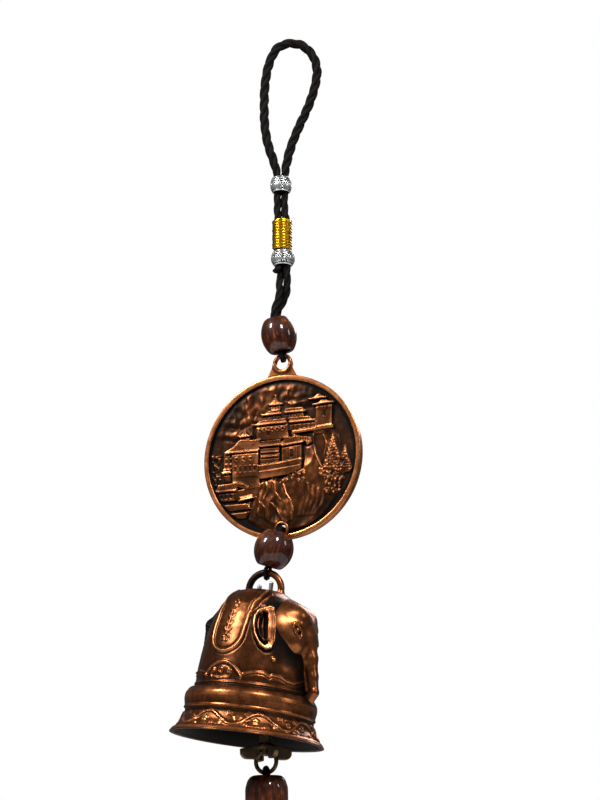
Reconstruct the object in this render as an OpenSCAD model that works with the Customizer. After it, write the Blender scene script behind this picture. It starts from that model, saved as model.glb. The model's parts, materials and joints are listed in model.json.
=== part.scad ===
// Hanging temple bell: a corded loop, two silver beads, a round medallion and an
// elephant bell with its clapper and pull bead, strung in one line.
// The origin is the inside top of the cord loop, where a hook carries it. +Z is up,
// +X runs to the right and -Y is the side that the medallion and the bell face.

/* [Layout] */
// Turn of the medallion and of all below it about the upright, right edge forward
turn = 21.5; // [0:0.5:30]
// Lean of the upper wooden bead from the upright, its top to the left
upper_lean = 10.5; // [8:0.5:12]
// Lean of the lower wooden bead from the upright, its foot to the left
link_lean = 17; // [15:0.5:18]
// Lean of the bell from the upright, its mouth to the left
bell_lean = 6.6; // [6:0.1:10]
// Pitch of the bell about its bail, its mouth to the front
bell_pitch = 1.7; // [0:0.1:4]
// Lean of the clapper from the upright, its foot to the right
clapper_lean = 1.5; // [0:0.1:2.5]

/* [Cord] */
// Thickness of the open hanging loop's cord
loop_d = 3.3; // [2.8:0.1:3.4]
// Thickness of the same cord where its strands lie pressed together
pair_d = 2.3; // [1.8:0.1:2.3]
// Thickness of the same cord pulled flat round the medallion's eye
bight_d = 1.5; // [1.2:0.1:1.5]
// Thickness of the link cord between the medallion and the bell
link_d = 1.3; // [1:0.1:1.3]
// Thickness of the pull cord under the clapper
tail_d = 1.5; // [1.2:0.1:1.5]

/* [Silver beads and wrap] */
// Diameter of the sliding silver bead
loop_bead_d = 7.4; // [7:0.1:8.4]
// Diameter of the fixed silver bead
stop_bead_d = 8.2; // [7.4:0.1:9]
// Height of each silver bead
silver_h = 5.2; // [4.6:0.1:5.2]
// Diameter of the hole in each silver bead
silver_bore = 5.2; // [5.1:0.1:5.4]
// Outer diameter of the wound thread
wrap_d = 6.8; // [6.2:0.1:7.4]
// Height of the wound thread
wrap_h = 11; // [9:0.1:11]

/* [Wooden beads] */
// Diameter of the upper wooden bead
upper_d = 12; // [11:0.1:12.6]
// Diameter of the lower wooden bead
lower_d = 13; // [12:0.1:13]
// Height of the round wooden beads
round_h = 11.8; // [11:0.1:11.9]
// Diameter of the flat ends of the round wooden beads
round_end_d = 7.8; // [7:0.1:8]
// Diameter of the barrel bead
barrel_d = 13.8; // [13:0.1:14.4]
// Length of the barrel bead
barrel_h = 20; // [16:0.5:20]
// Diameter of the barrel bead's flat ends
barrel_end_d = 10.2; // [9.6:0.1:11]
// Diameter of the hole in the upper bead
upper_bore = 5.2; // [5.1:0.1:5.4]
// Diameter of the hole in the lower bead and the barrel bead
lower_bore = 4.8; // [4.7:0.1:5]

/* [Medallion] */
// Diameter of the medallion
medal_d = 55.8; // [54:0.2:56]
// Thickness of its raised edge
medal_rim_t = 2.8; // [2.4:0.1:2.8]
// Width of its raised edge
medal_rim_w = 1.7; // [1.4:0.1:2]
// Thickness of the plate inside the raised edge
medal_plate_t = 1.6; // [1.4:0.1:1.8]
// Outer diameter of the eye at its top
eye_d = 7.2; // [7:0.1:7.4]
// Thickness of the eye's round bar
eye_bar = 1.5; // [1.3:0.1:1.5]
// Diameter of the hole at its foot
foot_hole_d = 3; // [3:0.1:3.2]

/* [Bell] */
// Height of the bell from its mouth to its crown
bell_h = 48.5; // [48:0.1:49]
// Diameter of the bell's mouth
mouth_d = 50.4; // [50:0.1:51]
// Thickness of the bell's wall
wall = 1.6; // [1.4:0.1:1.8]
// Thickness of the bail on its crown
bail_t = 2.3; // [2.1:0.1:2.3]
// Outer width of the bail
bail_w = 13.6; // [13:0.1:14]
// Thickness of the wire staple in its crown
staple_t = 1.4; // [1.2:0.1:1.4]

/* [Clapper] */
// Width of the clapper's square stem
stem_w = 3.4; // [3:0.1:3.6]
// Reach of each of the clapper's four blades from its middle
blade_reach = 8.8; // [8:0.1:9]
// Thickness of each blade
blade_t = 1.6; // [1.4:0.1:1.6]
// Outer diameter of the wire ring under the clapper
ring_d = 8.4; // [8.4:0.1:8.6]
// Thickness of the ring's wire
ring_t = 1.4; // [1.2:0.1:1.4]

/* [Hidden] */
$fn = 64;
cord_sides = 8;

cord_black = [0.07, 0.06, 0.06];
silver = [0.78, 0.79, 0.8];
gold = [0.85, 0.64, 0.05];
dark_wood = [0.22, 0.09, 0.06];
copper = [0.55, 0.3, 0.16];
steel = [0.45, 0.46, 0.47];
bronze = [0.26, 0.22, 0.16];

// the silver beads, the thread and the upper bead lie on the hanging cord
loop_bead_at = [-3, 0, -49.8];
wrap_at = [-2.6, 0, -67.5];
stop_bead_at = [-2.3, 0, -75.8];
upper_at = [-3.65, 0, -102.7];

// from the medallion down, places are given in the turned frame about this upright
chain_x = -2.3;
medal_z = -144.6;
eye_z = -112.6;
foot_hole_z = -168.9;
lower_at = [-0.3, -7, -176.9];
knot_at = [0, 3.7, foot_hole_z];
knot_d = 4;
bail_bar_at = [-2.6, -7, -184.4];
bail_h = 6.45;                   // crown to the middle of the bail's top bar
bell_up = [sin(bell_lean) * cos(bell_pitch), sin(bell_pitch), cos(bell_lean) * cos(bell_pitch)];
crown_at = bail_bar_at - bail_h * bell_up;
staple_drop = 5;                 // crown to the staple's lowest wire, inside
staple_half = 2;                 // half the distance between its legs
pivot_at = crown_at - staple_drop * bell_up;

// heights below the clapper's pivot
ring_hole_z = -46.7;
ring_r = (ring_d - ring_t) / 2;
ring_z = ring_hole_z - ring_r;
barrel_top_z = ring_z - ring_d / 2 - 0.35;
end_knot_d = 5.2;
end_knot_h = 4.4;
end_knot_z = barrel_top_z - barrel_h - 0.75 - end_knot_h / 2;

// the hanging cord from its cut end, up through the beads, round the loop, down again,
// round the medallion's eye and back up into the thread: [x, y, z] and its thickness
hanging_route = [
    [[-5.4, -1.6, -80.6], 1.4], [[-4.4, -1.1, -80.2], 2.1], [[-3.7, -0.8, -78.8], pair_d],
    [[-3.6, -0.7, -73], pair_d], [[-3.9, -0.7, -67], pair_d], [[-4, -0.6, -62], pair_d],
    [[-4.2, 0, -58], pair_d], [[-4.2, 0, -49.8], pair_d], [[-4.3, 0, -46], 2.5],
    [[-5.2, 0, -42.4], 3.1], [[-6.2, 0, -39.2], loop_d], [[-7.5, 0, -35], loop_d],
    [[-8.5, 0, -29], loop_d], [[-8.8, 0, -22], loop_d], [[-8.6, 0, -14], loop_d],
    [[-7.4, 0, -6.6], loop_d], [[-5, 0, -1], loop_d], [[-2, 0, 1.2], loop_d],
    [[1.6, 0, 1.6], loop_d], [[5.2, 0, 0.2], loop_d], [[8.2, 0, -3.6], loop_d],
    [[9.3, 0, -8.8], loop_d], [[8.2, 0, -15.6], loop_d], [[5.8, 0, -22.6], loop_d],
    [[3, 0, -29], loop_d], [[0.7, 0, -35], loop_d], [[-0.5, 0, -39.2], loop_d],
    [[-1.2, 0, -42.4], 3.1], [[-1.7, 0, -46], 2.5], [[-1.8, 0, -49.8], pair_d],
    [[-1.8, 0, -58], pair_d], [[-1.3, -0.6, -62], pair_d], [[-1.3, -0.7, -67], pair_d],
    [[-1, -0.7, -73], pair_d], [[-1, -0.7, -79], pair_d], [[-0.9, -0.3, -83], pair_d],
    [[-1, 0.5, -87], pair_d], [[-2, 1, -90.2], pair_d], [[-3.8, 1.2, -93.6], pair_d],
    [[-4.3, 1.2, -97], pair_d], [[-3, 1.2, -104], 1.9], [[-2, 1.5, -108.6], bight_d],
    [[-1.7, 1.7, -109.8], bight_d], [[-1.9, 1.2, -111], bight_d], [[-2.3, 0, -111.5], bight_d],
    [[-2.7, -1.2, -111], bight_d], [[-2.9, -1.7, -109.8], bight_d],
    [[-3.1, -1.5, -108.6], bight_d], [[-3.9, -1.2, -104], 1.9], [[-5.2, -1.2, -97], pair_d],
    [[-4.9, -1.2, -93.6], pair_d], [[-3.8, -1, -90.2], pair_d], [[-3.4, -0.3, -87], pair_d],
    [[-3.4, 0.6, -83], pair_d], [[-2.6, 1.5, -79], pair_d], [[-2.3, 1.5, -73], pair_d],
    [[-2.6, 1.5, -67], pair_d]];

// the link cord from its knot behind the medallion, through the foot hole, down the
// lower bead, round the bail and back, in the turned frame
link_route = [
    [[0.7, 2, -168.9], link_d], [[0.7, -2.4, -168.9], link_d],
    [[1.1, -4.2, -169.2], link_d], [[1.7, -6, -170], link_d], [[1.7, -7.3, -172.4], link_d],
    [[0.6, -7.7, -175.2], link_d], [[-0.6, -7.8, -178], link_d], [[-1.6, -8, -181], link_d],
    [[-2.1, -8.5, -182.8], link_d], [[-2.6, -9, -184.4], link_d],
    [[-2.8, -8.4, -185.8], link_d], [[-2.9, -7, -186.4], link_d],
    [[-2.8, -5.6, -185.8], link_d], [[-2.6, -5, -184.4], link_d],
    [[-2.1, -5.5, -182.8], link_d], [[-1.6, -6, -181], link_d], [[-0.6, -6.2, -178], link_d],
    [[0, -6.3, -175.2], link_d], [[0.3, -6.2, -172.4], link_d], [[0.6, -5.9, -170.4], link_d],
    [[-0.4, -4, -169.3], link_d], [[-0.7, -2.4, -168.9], link_d],
    [[-0.7, 2, -168.9], link_d]];

// the pull cord from the end knot, up through the barrel bead, over the ring's foot and
// back, in heights below the ring's middle
tail_route = [
    [[0, -1, -25.3], tail_d], [[0, -1, -18.4], tail_d], [[0, -1, -11.4], tail_d],
    [[0, -1.2, -6.4], tail_d], [[0, -1.4, -4.9], tail_d], [[0, -1.7, -3.5], tail_d],
    [[0, -1.2, -2.3], tail_d], [[0, 0, -1.8], tail_d], [[0, 1.2, -2.3], tail_d],
    [[0, 1.7, -3.5], tail_d], [[0, 1.4, -4.9], tail_d], [[0, 1.2, -6.4], tail_d],
    [[0, 1, -11.4], tail_d], [[0, 1, -18.4], tail_d], [[0, 1, -25.3], tail_d]];

// ---- frames -------------------------------------------------------------------

module turned() {
    translate([chain_x, 0, 0]) rotate([0, 0, -turn]) children();
}

module at_bell() {
    turned() translate(crown_at) rotate([0, bell_lean, 0]) rotate([-bell_pitch, 0, 0]) children();
}

module at_clapper() {
    turned() translate(pivot_at) rotate([0, -clapper_lean, 0]) children();
}

// ---- shared shapes --------------------------------------------------------------

function unit(v) = v / norm(v);

// the direction of the route at one of its points
function heading(route, i) =
    unit(route[min(i + 1, len(route) - 1)][0] - route[max(i - 1, 0)][0]);

// carries a side vector along the route, so that the tube doesn't twist
function carried(side, along) = unit(side - (side * along) * along);
function sides(route, i) =
    i == 0 ? carried([0.3, 1, 0.2], heading(route, 0))
           : carried(sides(route, i - 1), heading(route, i));

function ring_points(centre, side, along, radius) =
    [for (k = [0 : cord_sides - 1])
        let (a = 360 * k / cord_sides)
        centre + radius * (cos(a) * side + sin(a) * cross(along, side))];

// a closed tube swept through a route's points
module tube(route) {
    last = len(route) - 1;
    points = [for (i = [0 : last])
        each ring_points(route[i][0], sides(route, i), heading(route, i), route[i][1] / 2)];
    walls = [for (i = [0 : last - 1], k = [0 : cord_sides - 1])
        let (a = i * cord_sides + k, b = i * cord_sides + (k + 1) % cord_sides)
        each [[a, a + cord_sides, b], [b, a + cord_sides, b + cord_sides]]];
    start = [for (k = [0 : cord_sides - 1]) k];
    finish = [for (k = [cord_sides - 1 : -1 : 0]) last * cord_sides + k];
    polyhedron(points, concat(walls, [start, finish]));
}

// points up the side of a bead, along the arc through its waist and the rims of its ends
function bead_side(height, d_mid, d_end) =
    let (steps = 14, rise = (d_mid - d_end) / 2,
         arc_r = (height * height / 4 + rise * rise) / (2 * rise))
    [for (i = [0 : steps])
        let (z = height * (i / steps - 0.5)) [d_mid / 2 - arc_r + sqrt(arc_r * arc_r - z * z), z]];

// a bead between two flat ends, bored through unless its bore is 0
module bead(height, d_mid, d_end, bore) {
    rotate_extrude() polygon(concat([[bore / 2, -height / 2]], bead_side(height, d_mid, d_end),
                                    [[bore / 2, height / 2]]));
}

module torus(middle_r, bar_r) {
    rotate_extrude() translate([middle_r, 0]) circle(r = bar_r, $fn = 32);
}

// ---- on the hanging cord ----------------------------------------------------------

module hanging_cord() {
    color(cord_black) tube(hanging_route);
}

module loop_bead() {
    color(silver) translate(loop_bead_at)
        bead(silver_h, loop_bead_d, silver_bore + 0.8, silver_bore);
}

module stop_bead() {
    color(silver) translate(stop_bead_at)
        bead(silver_h, stop_bead_d, silver_bore + 0.8, silver_bore);
}

module gold_wrap() {
    color(gold) translate(wrap_at) difference() {
        cylinder(h = wrap_h, d = wrap_d, center = true);
        cylinder(h = wrap_h + 1, d = silver_bore, center = true);
    }
}

module upper_bead() {
    color(dark_wood) translate(upper_at) rotate([0, -upper_lean, 0])
        bead(round_h, upper_d, round_end_d, upper_bore);
}

// ---- medallion ----------------------------------------------------------------------

// the wedge that joins the eye to the disc
module eye_neck() {
    foot_w = 10.8;
    top_w = 5.4;
    foot_z = medal_z + medal_d / 2 - 1;
    rotate([90, 0, 0])
        linear_extrude(height = eye_bar, center = true)
        polygon([[-foot_w / 2, foot_z], [foot_w / 2, foot_z],
                 [top_w / 2, eye_z - eye_d / 2 + 0.8], [-top_w / 2, eye_z - eye_d / 2 + 0.8]]);
}

module medallion() {
    boss_d = 5;
    color(copper) turned() difference() {
        union() {
            translate([0, 0, medal_z]) rotate([90, 0, 0]) {
                cylinder(h = medal_plate_t, d = medal_d - medal_rim_w, center = true, $fn = 128);
                difference() {
                    cylinder(h = medal_rim_t, d = medal_d, center = true, $fn = 128);
                    cylinder(h = medal_rim_t + 1, d = medal_d - 2 * medal_rim_w,
                             center = true, $fn = 128);
                }
            }
            translate([0, 0, eye_z]) rotate([90, 0, 0]) torus((eye_d - eye_bar) / 2, eye_bar / 2);
            difference() {
                eye_neck();
                translate([0, 0, eye_z]) rotate([90, 0, 0])
                    cylinder(h = medal_rim_t, r = (eye_d - eye_bar) / 2, center = true);
            }
            translate([0, 0, foot_hole_z]) rotate([90, 0, 0])
                cylinder(h = medal_rim_t - 0.2, d = boss_d, center = true);
        }
        translate([0, 0, foot_hole_z]) rotate([90, 0, 0])
            cylinder(h = medal_rim_t + 1, d = foot_hole_d, center = true);
    }
}

// ---- link to the bell -----------------------------------------------------------------

module link_cord() {
    color(cord_black) turned() tube(link_route);
}

// the knot that stops the link cord behind the medallion
module link_knot() {
    color(cord_black) turned() translate(knot_at) rotate([90, 0, 0])
        bead(knot_d - 0.6, knot_d, knot_d - 1.4, 0);
}

module lower_bead() {
    color(dark_wood) turned() translate(lower_at) rotate([0, link_lean, 0])
        bead(round_h, lower_d, round_end_d, lower_bore);
}

// ---- bell -------------------------------------------------------------------------------

// half outline of the bell from the crown down to the mouth: [radius, height]
outer_line = [[6.5, 0], [8.5, -1.2], [10.5, -2.6], [12.1, -4.2], [13.4, -6], [15, -9.5],
              [16.4, -14], [17.6, -20], [18.4, -27], [18.7, -33], [20.4, -34], [21.4, -35.6],
              [21.6, -37.2], [21.3, -39], [20.9, -40.8], [21.2, -42.6], [22, -44.6],
              [23.4, -46.6]];

// half outline of the space under the wall, which also thickens the crown's shoulder
inner_line = concat([[0, -wall], [6.1, -wall]],
    [for (i = [1 : len(outer_line) - 1])
        outer_line[i] - (i < 6 ? [wall + 0.4, 0.6] : [wall, 0])],
    [[mouth_d / 2 - wall, -bell_h - 0.1], [0, -bell_h - 0.1]]);

module bell_body() {
    rotate([0, 0, 90]) rotate_extrude($fn = 96)
        polygon(concat([[0, 0]], outer_line, [[mouth_d / 2, -bell_h], [0, -bell_h]]));
}

module bell_hollow() {
    rotate([0, 0, 90]) rotate_extrude($fn = 96) polygon(inner_line);
}

// a tapered round limb between two points of the X-Z plane, with a ball at its far end
module limb(from, to, r_from, r_to, ball_r) {
    run = to - from;
    translate(from) rotate([0, atan2(run[0], run[2]), 0])
        cylinder(h = norm(run), r1 = r_from, r2 = r_to);
    translate(to) sphere(r = ball_r);
}

// a flat ear with round ends, standing out of the side and sloping with it
module ear() {
    ear_r = 3.6;
    ear_t = 2.4;
    ends_apart = 6.8;
    slope = 71;
    translate([15.7, 0, -12.8]) rotate([0, slope, 0]) {
        for (end = [-1, 1])
            translate([end * ends_apart / 2, 0, 0]) cylinder(h = ear_t, r = ear_r, center = true);
        cube([ends_apart, 2 * ear_r - 0.2, ear_t], center = true);
    }
}

// the head, trunk, ears and tail that stand out of the bell's side
module elephant() {
    head_r = 13.4;
    ear_angle = 65;
    trunk_knee = [19.4, 0, -26];
    translate([6.3, 0, -14.4]) rotate([0, 0, 180]) sphere(r = head_r);
    limb([16, 0, -17], trunk_knee, 3.5, 2.3, 2.5);
    limb(trunk_knee, [20.2, 0, -33.4], 2.3, 1.7, 1.9);
    for (side = [-ear_angle, ear_angle])
        rotate([0, 0, side]) ear();
    limb([-14.6, 0, -10], [-17, 0, -21.6], 2.2, 2.2, 2.4);
}

// the arch that is cast with the crown, its middle line in the X-Z plane
module bail() {
    sunk = 0.8;
    arch_r = (bail_w - bail_t) / 2;
    foot_h = bail_h - arch_r;
    translate([0, 0, foot_h]) rotate([90, 0, 0])
        rotate_extrude(angle = 180) translate([arch_r, 0]) circle(d = bail_t, $fn = 32);
    for (side = [-1, 1])
        translate([side * arch_r, 0, -sunk]) cylinder(h = foot_h + sunk, d = bail_t, $fn = 32);
}

module bell() {
    hole_d = staple_t + 0.2;
    color(copper) at_bell() difference() {
        union() {
            bell_body();
            elephant();
            bail();
        }
        bell_hollow();
        for (side = [-1, 1])
            translate([side * staple_half, 0, -wall - 1]) cylinder(h = wall + 2, d = hole_d);
    }
}

// a bent wire whose legs stand through the crown and whose foot carries the clapper
module hanger_staple() {
    leg_foot = staple_half - staple_drop;
    leg_tops = [2, 3.2];
    color(steel) at_bell() {
        translate([0, 0, leg_foot]) rotate([-90, 0, 0])
            rotate_extrude(angle = 180) translate([staple_half, 0]) circle(d = staple_t, $fn = 24);
        for (i = [0, 1])
            translate([(2 * i - 1) * staple_half, 0, leg_foot])
                cylinder(h = leg_tops[i] - leg_foot, d = staple_t, $fn = 24);
    }
}

// ---- clapper and pull -----------------------------------------------------------------------

// one blade of the clapper, in the X-Z plane, with a rounded foot
module blade() {
    top_z = ring_hole_z + 2.5;
    foot_z = ring_hole_z - 2.8;
    foot_r = 2.2;
    rotate([90, 0, 0]) linear_extrude(height = blade_t, center = true) {
        polygon([[0, top_z], [blade_reach, top_z - 2], [blade_reach, foot_z + foot_r],
                 [blade_reach - foot_r, foot_z], [5, foot_z], [3, foot_z + 1.4],
                 [0, foot_z + 1.4]]);
        translate([blade_reach - foot_r, foot_z + foot_r]) circle(r = foot_r, $fn = 48);
    }
}

module clapper() {
    eye_r = 1.45;
    eye_t = 1;
    eye_w = 4.6;
    ring_lug_t = 1.8;
    color(bronze) at_clapper() difference() {
        union() {
            rotate([0, 90, 0]) cylinder(h = eye_t, d = eye_w, center = true);
            translate([-eye_t / 2, -stem_w / 2, -7]) cube([eye_t, stem_w, 6]);
            translate([-stem_w / 2, -stem_w / 2, -45.6]) cube([stem_w, stem_w, 40]);
            difference() {
                for (a = [45, 135, 225, 315]) rotate([0, 0, a]) blade();
                translate([0, 0, ring_hole_z - 4.2]) cylinder(h = 5, r = 3.4);
            }
            translate([-ring_lug_t / 2, -stem_w / 2, ring_hole_z - 1.6])
                cube([ring_lug_t, stem_w, 4]);
        }
        rotate([0, 90, 0]) cylinder(h = eye_t + 1, r = eye_r, center = true);
        translate([0, 0, ring_hole_z]) rotate([0, 90, 0])
            cylinder(h = 4, r = ring_t / 2 + 0.3, center = true);
    }
}

module clapper_ring() {
    color(bronze) at_clapper() translate([0, 0, ring_z]) rotate([90, 0, 0])
        torus(ring_r, ring_t / 2);
}

module tail_cord() {
    color(cord_black) at_clapper() translate([0, 0, ring_z]) tube(tail_route);
}

module barrel_bead() {
    shoulder_h = 3.8;
    rise = (barrel_d - barrel_end_d) / 2;
    color(dark_wood) at_clapper() translate([0, 0, barrel_top_z - barrel_h]) difference() {
        rotate_extrude() polygon([[0, 0], [barrel_end_d / 2, 0], [barrel_d / 2 - 0.4 * rise, 1.4],
                                  [barrel_d / 2, shoulder_h], [barrel_d / 2, barrel_h - shoulder_h],
                                  [barrel_d / 2 - 0.4 * rise, barrel_h - 1.4],
                                  [barrel_end_d / 2, barrel_h], [0, barrel_h]]);
        translate([0, 0, -1]) cylinder(h = barrel_h + 2, d = lower_bore);
    }
}

// the knot that ends the pull cord under the barrel bead
module end_knot() {
    color(cord_black) at_clapper() translate([0, 0, end_knot_z])
        bead(end_knot_h, end_knot_d, end_knot_d - 2, 0);
}

hanging_cord();
loop_bead();
gold_wrap();
stop_bead();
upper_bead();
medallion();
link_cord();
link_knot();
lower_bead();
bell();
hanger_staple();
clapper();
clapper_ring();
tail_cord();
barrel_bead();
end_knot();
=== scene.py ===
import json
import math

import bpy
import numpy as np
from mathutils import Matrix, Vector


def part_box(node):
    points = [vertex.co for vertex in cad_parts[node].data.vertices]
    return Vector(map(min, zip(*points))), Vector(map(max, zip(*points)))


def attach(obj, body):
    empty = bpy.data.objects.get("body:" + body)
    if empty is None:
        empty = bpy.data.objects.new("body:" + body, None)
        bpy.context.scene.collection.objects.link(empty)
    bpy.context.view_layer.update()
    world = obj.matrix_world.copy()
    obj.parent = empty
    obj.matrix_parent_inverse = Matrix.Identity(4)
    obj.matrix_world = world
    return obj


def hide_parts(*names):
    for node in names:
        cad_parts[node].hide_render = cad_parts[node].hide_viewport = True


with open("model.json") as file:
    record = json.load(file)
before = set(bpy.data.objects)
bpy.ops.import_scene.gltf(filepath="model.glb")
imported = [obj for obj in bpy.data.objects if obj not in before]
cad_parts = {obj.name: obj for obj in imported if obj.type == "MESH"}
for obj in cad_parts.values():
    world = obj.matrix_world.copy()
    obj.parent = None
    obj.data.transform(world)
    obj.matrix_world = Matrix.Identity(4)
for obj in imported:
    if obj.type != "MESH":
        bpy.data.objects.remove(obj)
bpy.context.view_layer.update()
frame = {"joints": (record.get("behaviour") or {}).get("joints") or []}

# The looks of a hanging temple bell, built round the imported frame. Every shape is worked out in
# millimetres in the frame of the piece that it belongs to, and placed by the record's joints.

MM = 0.001
TAU = 2 * math.pi
JOINTS = {j["name"]: j for j in frame["joints"]}


# ---- camera, stage and light ---------------------------------------------------------------

def add_camera():
    """The camera stands below the object and looks up at it."""
    distance = 0.9
    elevation = math.radians(-14)
    target = Vector((0.00344, 0, -0.125))
    data = bpy.data.cameras.new("camera")
    data.sensor_width = 36
    data.lens = 121.5
    camera = bpy.data.objects.new("camera", data)
    camera.location = target + distance * Vector((0, -math.cos(elevation), math.sin(elevation)))
    camera.rotation_euler = (target - camera.location).to_track_quat("-Z", "Y").to_euler()
    bpy.context.scene.collection.objects.link(camera)
    bpy.context.scene.camera = camera


def add_floor():
    """A matt floor, well below the object."""
    size, height = 0.5, -0.42
    data = bpy.data.meshes.new("floor")
    corners = [(-size, -size, 0), (size, -size, 0), (size, size, 0), (-size, size, 0)]
    data.from_pydata(corners, [], [(0, 1, 2, 3)])
    floor = bpy.data.objects.new("floor", data)
    floor.location = (0, 0, height)
    bpy.context.scene.collection.objects.link(floor)
    surface = Shader("floor_paint", roughness=0.9)
    grain = surface.noise(surface.coords(), scale=6, detail=3)
    surface.colour(surface.ramp(grain, [(0.3, (0.70, 0.70, 0.69)), (0.7, (0.76, 0.76, 0.75))]))
    data.materials.append(surface.made)


def add_light(name, azimuth, elevation, distance, size, watts):
    """An area light that faces the middle of the object."""
    target = Vector((0, 0, -0.17))
    a, e = math.radians(azimuth), math.radians(elevation)
    data = bpy.data.lights.new(name, "AREA")
    data.shape = "RECTANGLE"
    data.size, data.size_y = size
    data.energy = watts
    light = bpy.data.objects.new(name, data)
    away = Vector((math.sin(a) * math.cos(e), -math.cos(a) * math.cos(e), math.sin(e)))
    light.location = target + distance * away
    light.rotation_euler = (-away).to_track_quat("-Z", "Y").to_euler()
    bpy.context.scene.collection.objects.link(light)


def add_world():
    """A pale room: white where the camera sees it, dimmer and darker below where it lights."""
    world = bpy.data.worlds.new("room")
    world.use_nodes = True
    nodes, links = world.node_tree.nodes, world.node_tree.links
    back = nodes["Background"]
    coords = nodes.new("ShaderNodeTexCoord")
    split = nodes.new("ShaderNodeSeparateXYZ")
    ramp = nodes.new("ShaderNodeValToRGB")
    height = nodes.new("ShaderNodeMapRange")
    height.inputs["From Min"].default_value = -1
    links.new(coords.outputs["Generated"], split.inputs[0])
    links.new(split.outputs["Z"], height.inputs["Value"])
    links.new(height.outputs[0], ramp.inputs[0])
    shades = [(0.3, (0.02, 0.02, 0.02, 1)), (0.62, (0.10, 0.10, 0.105, 1))]
    for element, (place, shade) in zip(ramp.color_ramp.elements, shades):
        element.position = place
        element.color = shade
    links.new(ramp.outputs[0], back.inputs["Color"])
    white = nodes.new("ShaderNodeBackground")
    white.inputs["Color"].default_value = (1, 1, 1, 1)
    path = nodes.new("ShaderNodeLightPath")
    mix = nodes.new("ShaderNodeMixShader")
    links.new(path.outputs["Is Camera Ray"], mix.inputs[0])
    links.new(back.outputs[0], mix.inputs[1])
    links.new(white.outputs[0], mix.inputs[2])
    links.new(mix.outputs[0], nodes["World Output"].inputs["Surface"])
    bpy.context.scene.world = world


# ---- materials -----------------------------------------------------------------------------

class Shader:
    """A material on one Principled shader, with a few short ways to add nodes."""

    def __init__(self, name, **sockets):
        self.made = bpy.data.materials.new(name)
        self.made.use_nodes = True
        self.nodes, self.links = self.made.node_tree.nodes, self.made.node_tree.links
        self.main = self.nodes["Principled BSDF"]
        for socket, value in sockets.items():
            label = socket.replace("_", " ").title().replace("Ior", "IOR")
            self.main.inputs[label].default_value = value

    def node(self, kind, inputs=(), **settings):
        made = self.nodes.new("ShaderNode" + kind)
        for key, value in settings.items():
            setattr(made, key, value)
        for key, value in dict(inputs).items():
            if isinstance(value, bpy.types.NodeSocket):
                self.links.new(value, made.inputs[key])
            else:
                made.inputs[key].default_value = value
        return made

    def coords(self):
        return self.node("TexCoord").outputs["Object"]

    def attribute(self, name, output="Fac"):
        return self.node("Attribute", attribute_name=name).outputs[output]

    def noise(self, vector, scale, detail=4, roughness=0.6):
        sockets = {"Vector": vector, "Scale": scale, "Detail": detail, "Roughness": roughness}
        return self.node("TexNoise", sockets).outputs["Fac"]

    def stretched(self, vector, scale):
        return self.node("Mapping", {"Vector": vector, "Scale": scale}).outputs[0]

    def ramp(self, value, stops):
        made = self.node("ValToRGB", {0: value})
        elements = made.color_ramp.elements
        while len(elements) < len(stops):
            elements.new(0.5)
        for element, (place, colour) in zip(elements, stops):
            element.position = place
            element.color = (*colour, 1)
        return made.outputs[0]

    def maths(self, operation, a, b):
        return self.node("Math", {0: a, 1: b}, operation=operation).outputs[0]

    def span(self, value, low, high):
        """A value from 0 to 1 stretched to run from low to high."""
        return self.node("MapRange", {"Value": value, "To Min": low, "To Max": high}).outputs[0]

    def colour(self, socket):
        self.links.new(socket, self.main.inputs["Base Color"])

    def rough(self, socket):
        self.links.new(socket, self.main.inputs["Roughness"])

    def bump(self, socket, strength, distance):
        made = self.node("Bump", {"Height": socket, "Strength": strength, "Distance": distance})
        self.links.new(made.outputs[0], self.main.inputs["Normal"])


def cast_metal(name, stops, roughness):
    """Antiqued cast metal: dark where the attribute of wear and painted shade is low, bright where it is
    high.
    """
    made = Shader(name, metallic=0.9, roughness=0.4)
    coords = made.coords()
    clouds = made.noise(coords, scale=420, detail=5)
    grain = made.noise(coords, scale=2600, detail=2)
    worn = made.maths("ADD", made.attribute("worn"), made.span(clouds, -0.16, 0.16))
    worn = made.maths("ADD", worn, made.span(grain, -0.07, 0.07))
    made.colour(made.ramp(worn, stops))
    matt = made.maths("MULTIPLY", made.ramp(worn, [(0.05, (1, 1, 1)), (0.4, (0, 0, 0))]), 0.3)
    mottled = made.maths("ADD", made.span(clouds, *roughness), made.span(grain, -0.05, 0.05))
    made.rough(made.maths("ADD", mottled, matt))
    made.bump(grain, strength=0.12, distance=0.0001)
    return made.made


def make_copper():
    return cast_metal("antique_copper", [
        (0.08, (0.003, 0.002, 0.0015)), (0.3, (0.026, 0.010, 0.004)),
        (0.52, (0.15, 0.046, 0.014)), (0.76, (0.46, 0.155, 0.048)), (1.0, (0.78, 0.35, 0.14))],
        roughness=(0.22, 0.36))


def make_bronze():
    return cast_metal("dark_bronze", [
        (0.1, (0.012, 0.010, 0.008)), (0.5, (0.12, 0.078, 0.04)),
        (0.8, (0.26, 0.17, 0.085)), (1.0, (0.42, 0.28, 0.15))], roughness=(0.34, 0.5))


def make_silver():
    return cast_metal("carved_silver", [
        (0.25, (0.004, 0.004, 0.004)), (0.5, (0.10, 0.10, 0.105)),
        (0.68, (0.55, 0.56, 0.57)), (1.0, (0.86, 0.86, 0.86))], roughness=(0.24, 0.38))


def make_steel():
    made = Shader("wire_steel", metallic=1.0, roughness=0.3)
    streaks = made.noise(made.stretched(made.coords(), (1, 1, 0.15)), scale=1800, detail=4)
    made.colour(made.ramp(streaks, [(0.3, (0.30, 0.30, 0.28)), (0.7, (0.62, 0.62, 0.60))]))
    made.rough(made.span(streaks, 0.2, 0.42))
    return made.made


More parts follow.
